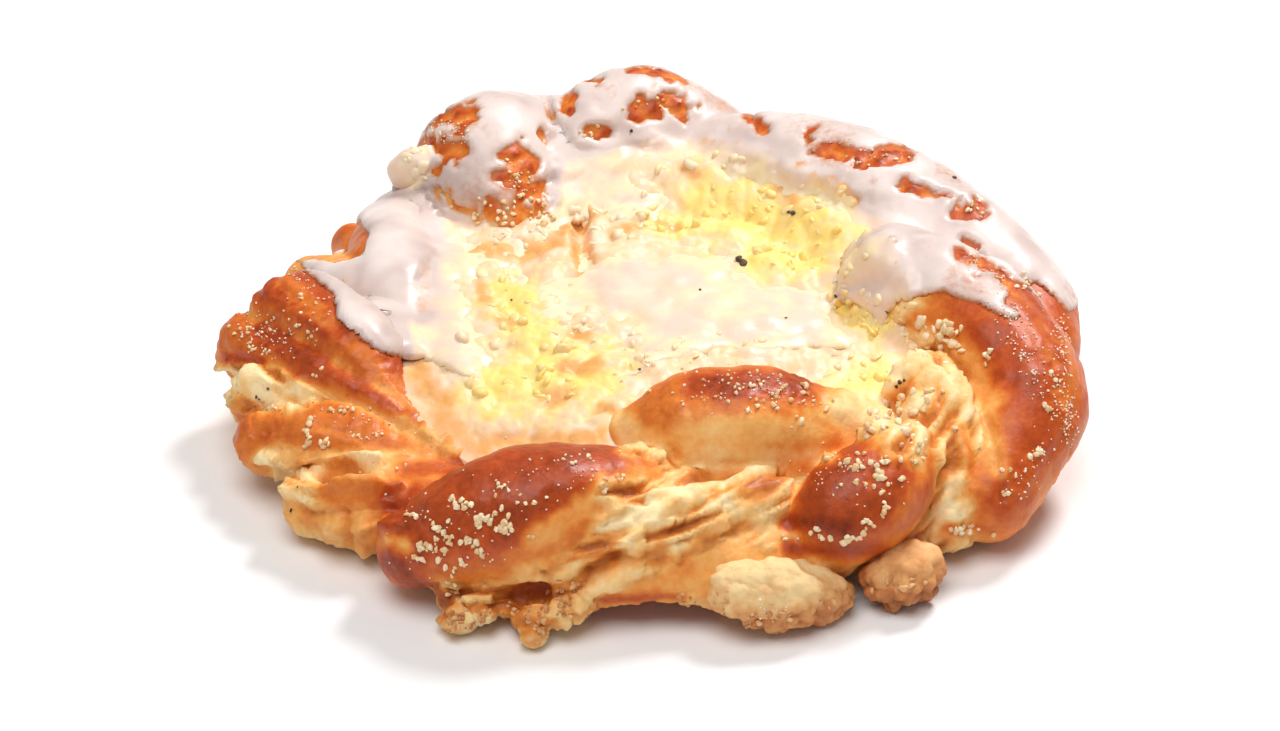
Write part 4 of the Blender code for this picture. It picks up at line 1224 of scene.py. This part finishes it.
def icing_material():
    made, tree, shader = new_material("sugar_icing")
    cover = mottled(tree, attribute(tree, "cover"), (0.0040, 3, 0.20), (0.0010, 3, 0.22))
    browning = attribute(tree, "browning")
    lilac = ramp(
        tree, noise_value(tree, 0.0080, 2), (0.32, 234, 218, 211), (0.50, 221, 202, 194),
        (0.68, 203, 182, 174))
    cream = ramp(
        tree, noise_value(tree, 0.0060, 3), (0.36, 246, 223, 180), (0.50, 240, 211, 184),
        (0.64, 235, 205, 187))
    white = mix(tree, map_range(tree, browning, {"From Min": 0.05, "From Max": 0.35}), cream, lilac)
    under = ramp(tree, browning, (0.00, 250, 226, 182), (0.40, 226, 158, 92), (0.90, 168, 82, 44))
    share = map_range(tree, cover, {"From Min": 0.02, "From Max": 0.62}, interpolation_type="SMOOTHSTEP")
    finish_shader(tree, shader, {
        "Base Color": mix(tree, share, under, white),
        "Roughness": scaled(tree, noise_value(tree, 0.004, 2), 0.28, 0.52),
        "Coat Weight": 0.15, "Coat Roughness": 0.15,
    }, (0.35, 0.0014, (1.0, 0.8, 0.65)), (0.15, noise_value(tree, 0.0015, 3)))
    return made


def set_material(obj, made):
    obj.data.materials.clear()
    obj.data.materials.append(made)
    obj.data.shade_smooth()


# studio


def add_camera():
    camera = link("camera", bpy.data.cameras.new("camera"))
    camera.data.sensor_width = SENSOR
    camera.data.lens = SENSOR * FOCUS_PIXELS / PHOTO_SIZE[0]
    camera.location = EYE + Vector((*RING_CENTRE, 0))
    camera.rotation_euler = BACK.to_track_quat("Z", "Y").to_euler()
    bpy.context.scene.camera = camera


def add_light(name, place, size, power):
    light = link(name, bpy.data.lights.new(name, "AREA"))
    light.data.shape = "DISK"
    light.data.size = size
    light.data.energy = power
    light.location = place
    light.rotation_euler = Vector(place).to_track_quat("Z", "Y").to_euler()


def add_studio():
    bm = bmesh.new()
    bmesh.ops.create_grid(bm, x_segments=1, y_segments=1, size=3.0)
    floor = object_from("studio_floor", bm)
    made, tree, shader = new_material("studio_floor")
    shade = mix(tree, noise_value(tree, 0.5, 2), (0.93, 0.93, 0.93, 1), (0.95, 0.95, 0.95, 1))
    fill(tree, shader, {"Base Color": shade, "Roughness": 0.9})
    set_material(floor, made)
    world = bpy.data.worlds.new("studio")
    world.use_nodes = True
    sky = world.node_tree.nodes["Background"]
    fill(world.node_tree, sky, {"Color": (1, 1, 1, 1), "Strength": SKY_STRENGTH})
    bpy.context.scene.world = world
    for light in LIGHTS:
        add_light(*light)
    bpy.context.scene.view_settings.view_transform = "Standard"


# the bun


def settle(piece, *nodes, slot):
    """Sets a finished piece in its place on the part."""
    piece.data.transform(Matrix.Translation((*RING_CENTRE, 0)))
    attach(piece, "root")
    if nodes:
        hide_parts(*nodes)


dough = make_dough()
filling = make_filling()
icing = make_icing(dough, filling)
set_cover(icing, dough, filling)
lumps = {name: lump_body("bun_" + name, *facts) for name, facts in STREUSEL_LUMPS.items()}
set_material(dough, dough_material())
set_material(filling, filling_material())
set_material(icing, icing_material())
streusel_finish = streusel_material()
for lump in lumps.values():
    set_material(lump, streusel_finish)
whole = surface_tree(dough, filling, icing, *lumps.values())
settle(dough, "dough", slot="crust")
settle(filling, "filling", slot="custard")
settle(icing, "icing", slot="icing")
for name, lump in lumps.items():
    settle(lump, name, slot="streusel")

curd_spots = [spot for stroke in CURD_STROKES for spot in cast_stroke(whole, *stroke)]
crumb_spots = [spot for cluster in CRUMB_CLUSTERS for spot in cast_cluster(whole, *cluster)]
brown_spots = [spot for cluster in BROWN_CLUSTERS for spot in cast_cluster(whole, *cluster)]
sugar_spots = [spot for stroke in SUGAR_STROKES for spot in cast_stroke(whole, *stroke, *SUGAR_SIZES)]
speck_spots = [spot for x, y, size in SPECKS for spot in cast_cluster(whole, x, y, 0, 0, 1, size, size)]
for piece, look, slot in (
        (grains("bun_curds", curd_spots, 2, -0.52, yellow_shades(curd_spots)),
         ("curd_lumps", (243, 218, 186), (250, 214, 118), 0.45), "custard"),
        (grains("bun_crumbs", crumb_spots, 2),
         ("crumbs", (228, 184, 126), (250, 230, 194), 0.65), "streusel"),
        (grains("bun_brown_crumbs", brown_spots, 2, 0.0),
         ("brown_crumbs", (192, 122, 68), (236, 190, 132), 0.70), "streusel"),
        (grains("bun_sugar", sugar_spots, 1),
         ("sugar_grains", (236, 190, 150), (252, 240, 224), 0.30), "icing"),
        (grains("bun_specks", speck_spots, 2),
         ("dark_specks", (50, 34, 30), (92, 70, 48), 0.60), "crust")):
    set_material(piece, grain_material(*look))
    settle(piece, slot=slot)
add_camera()
add_studio()
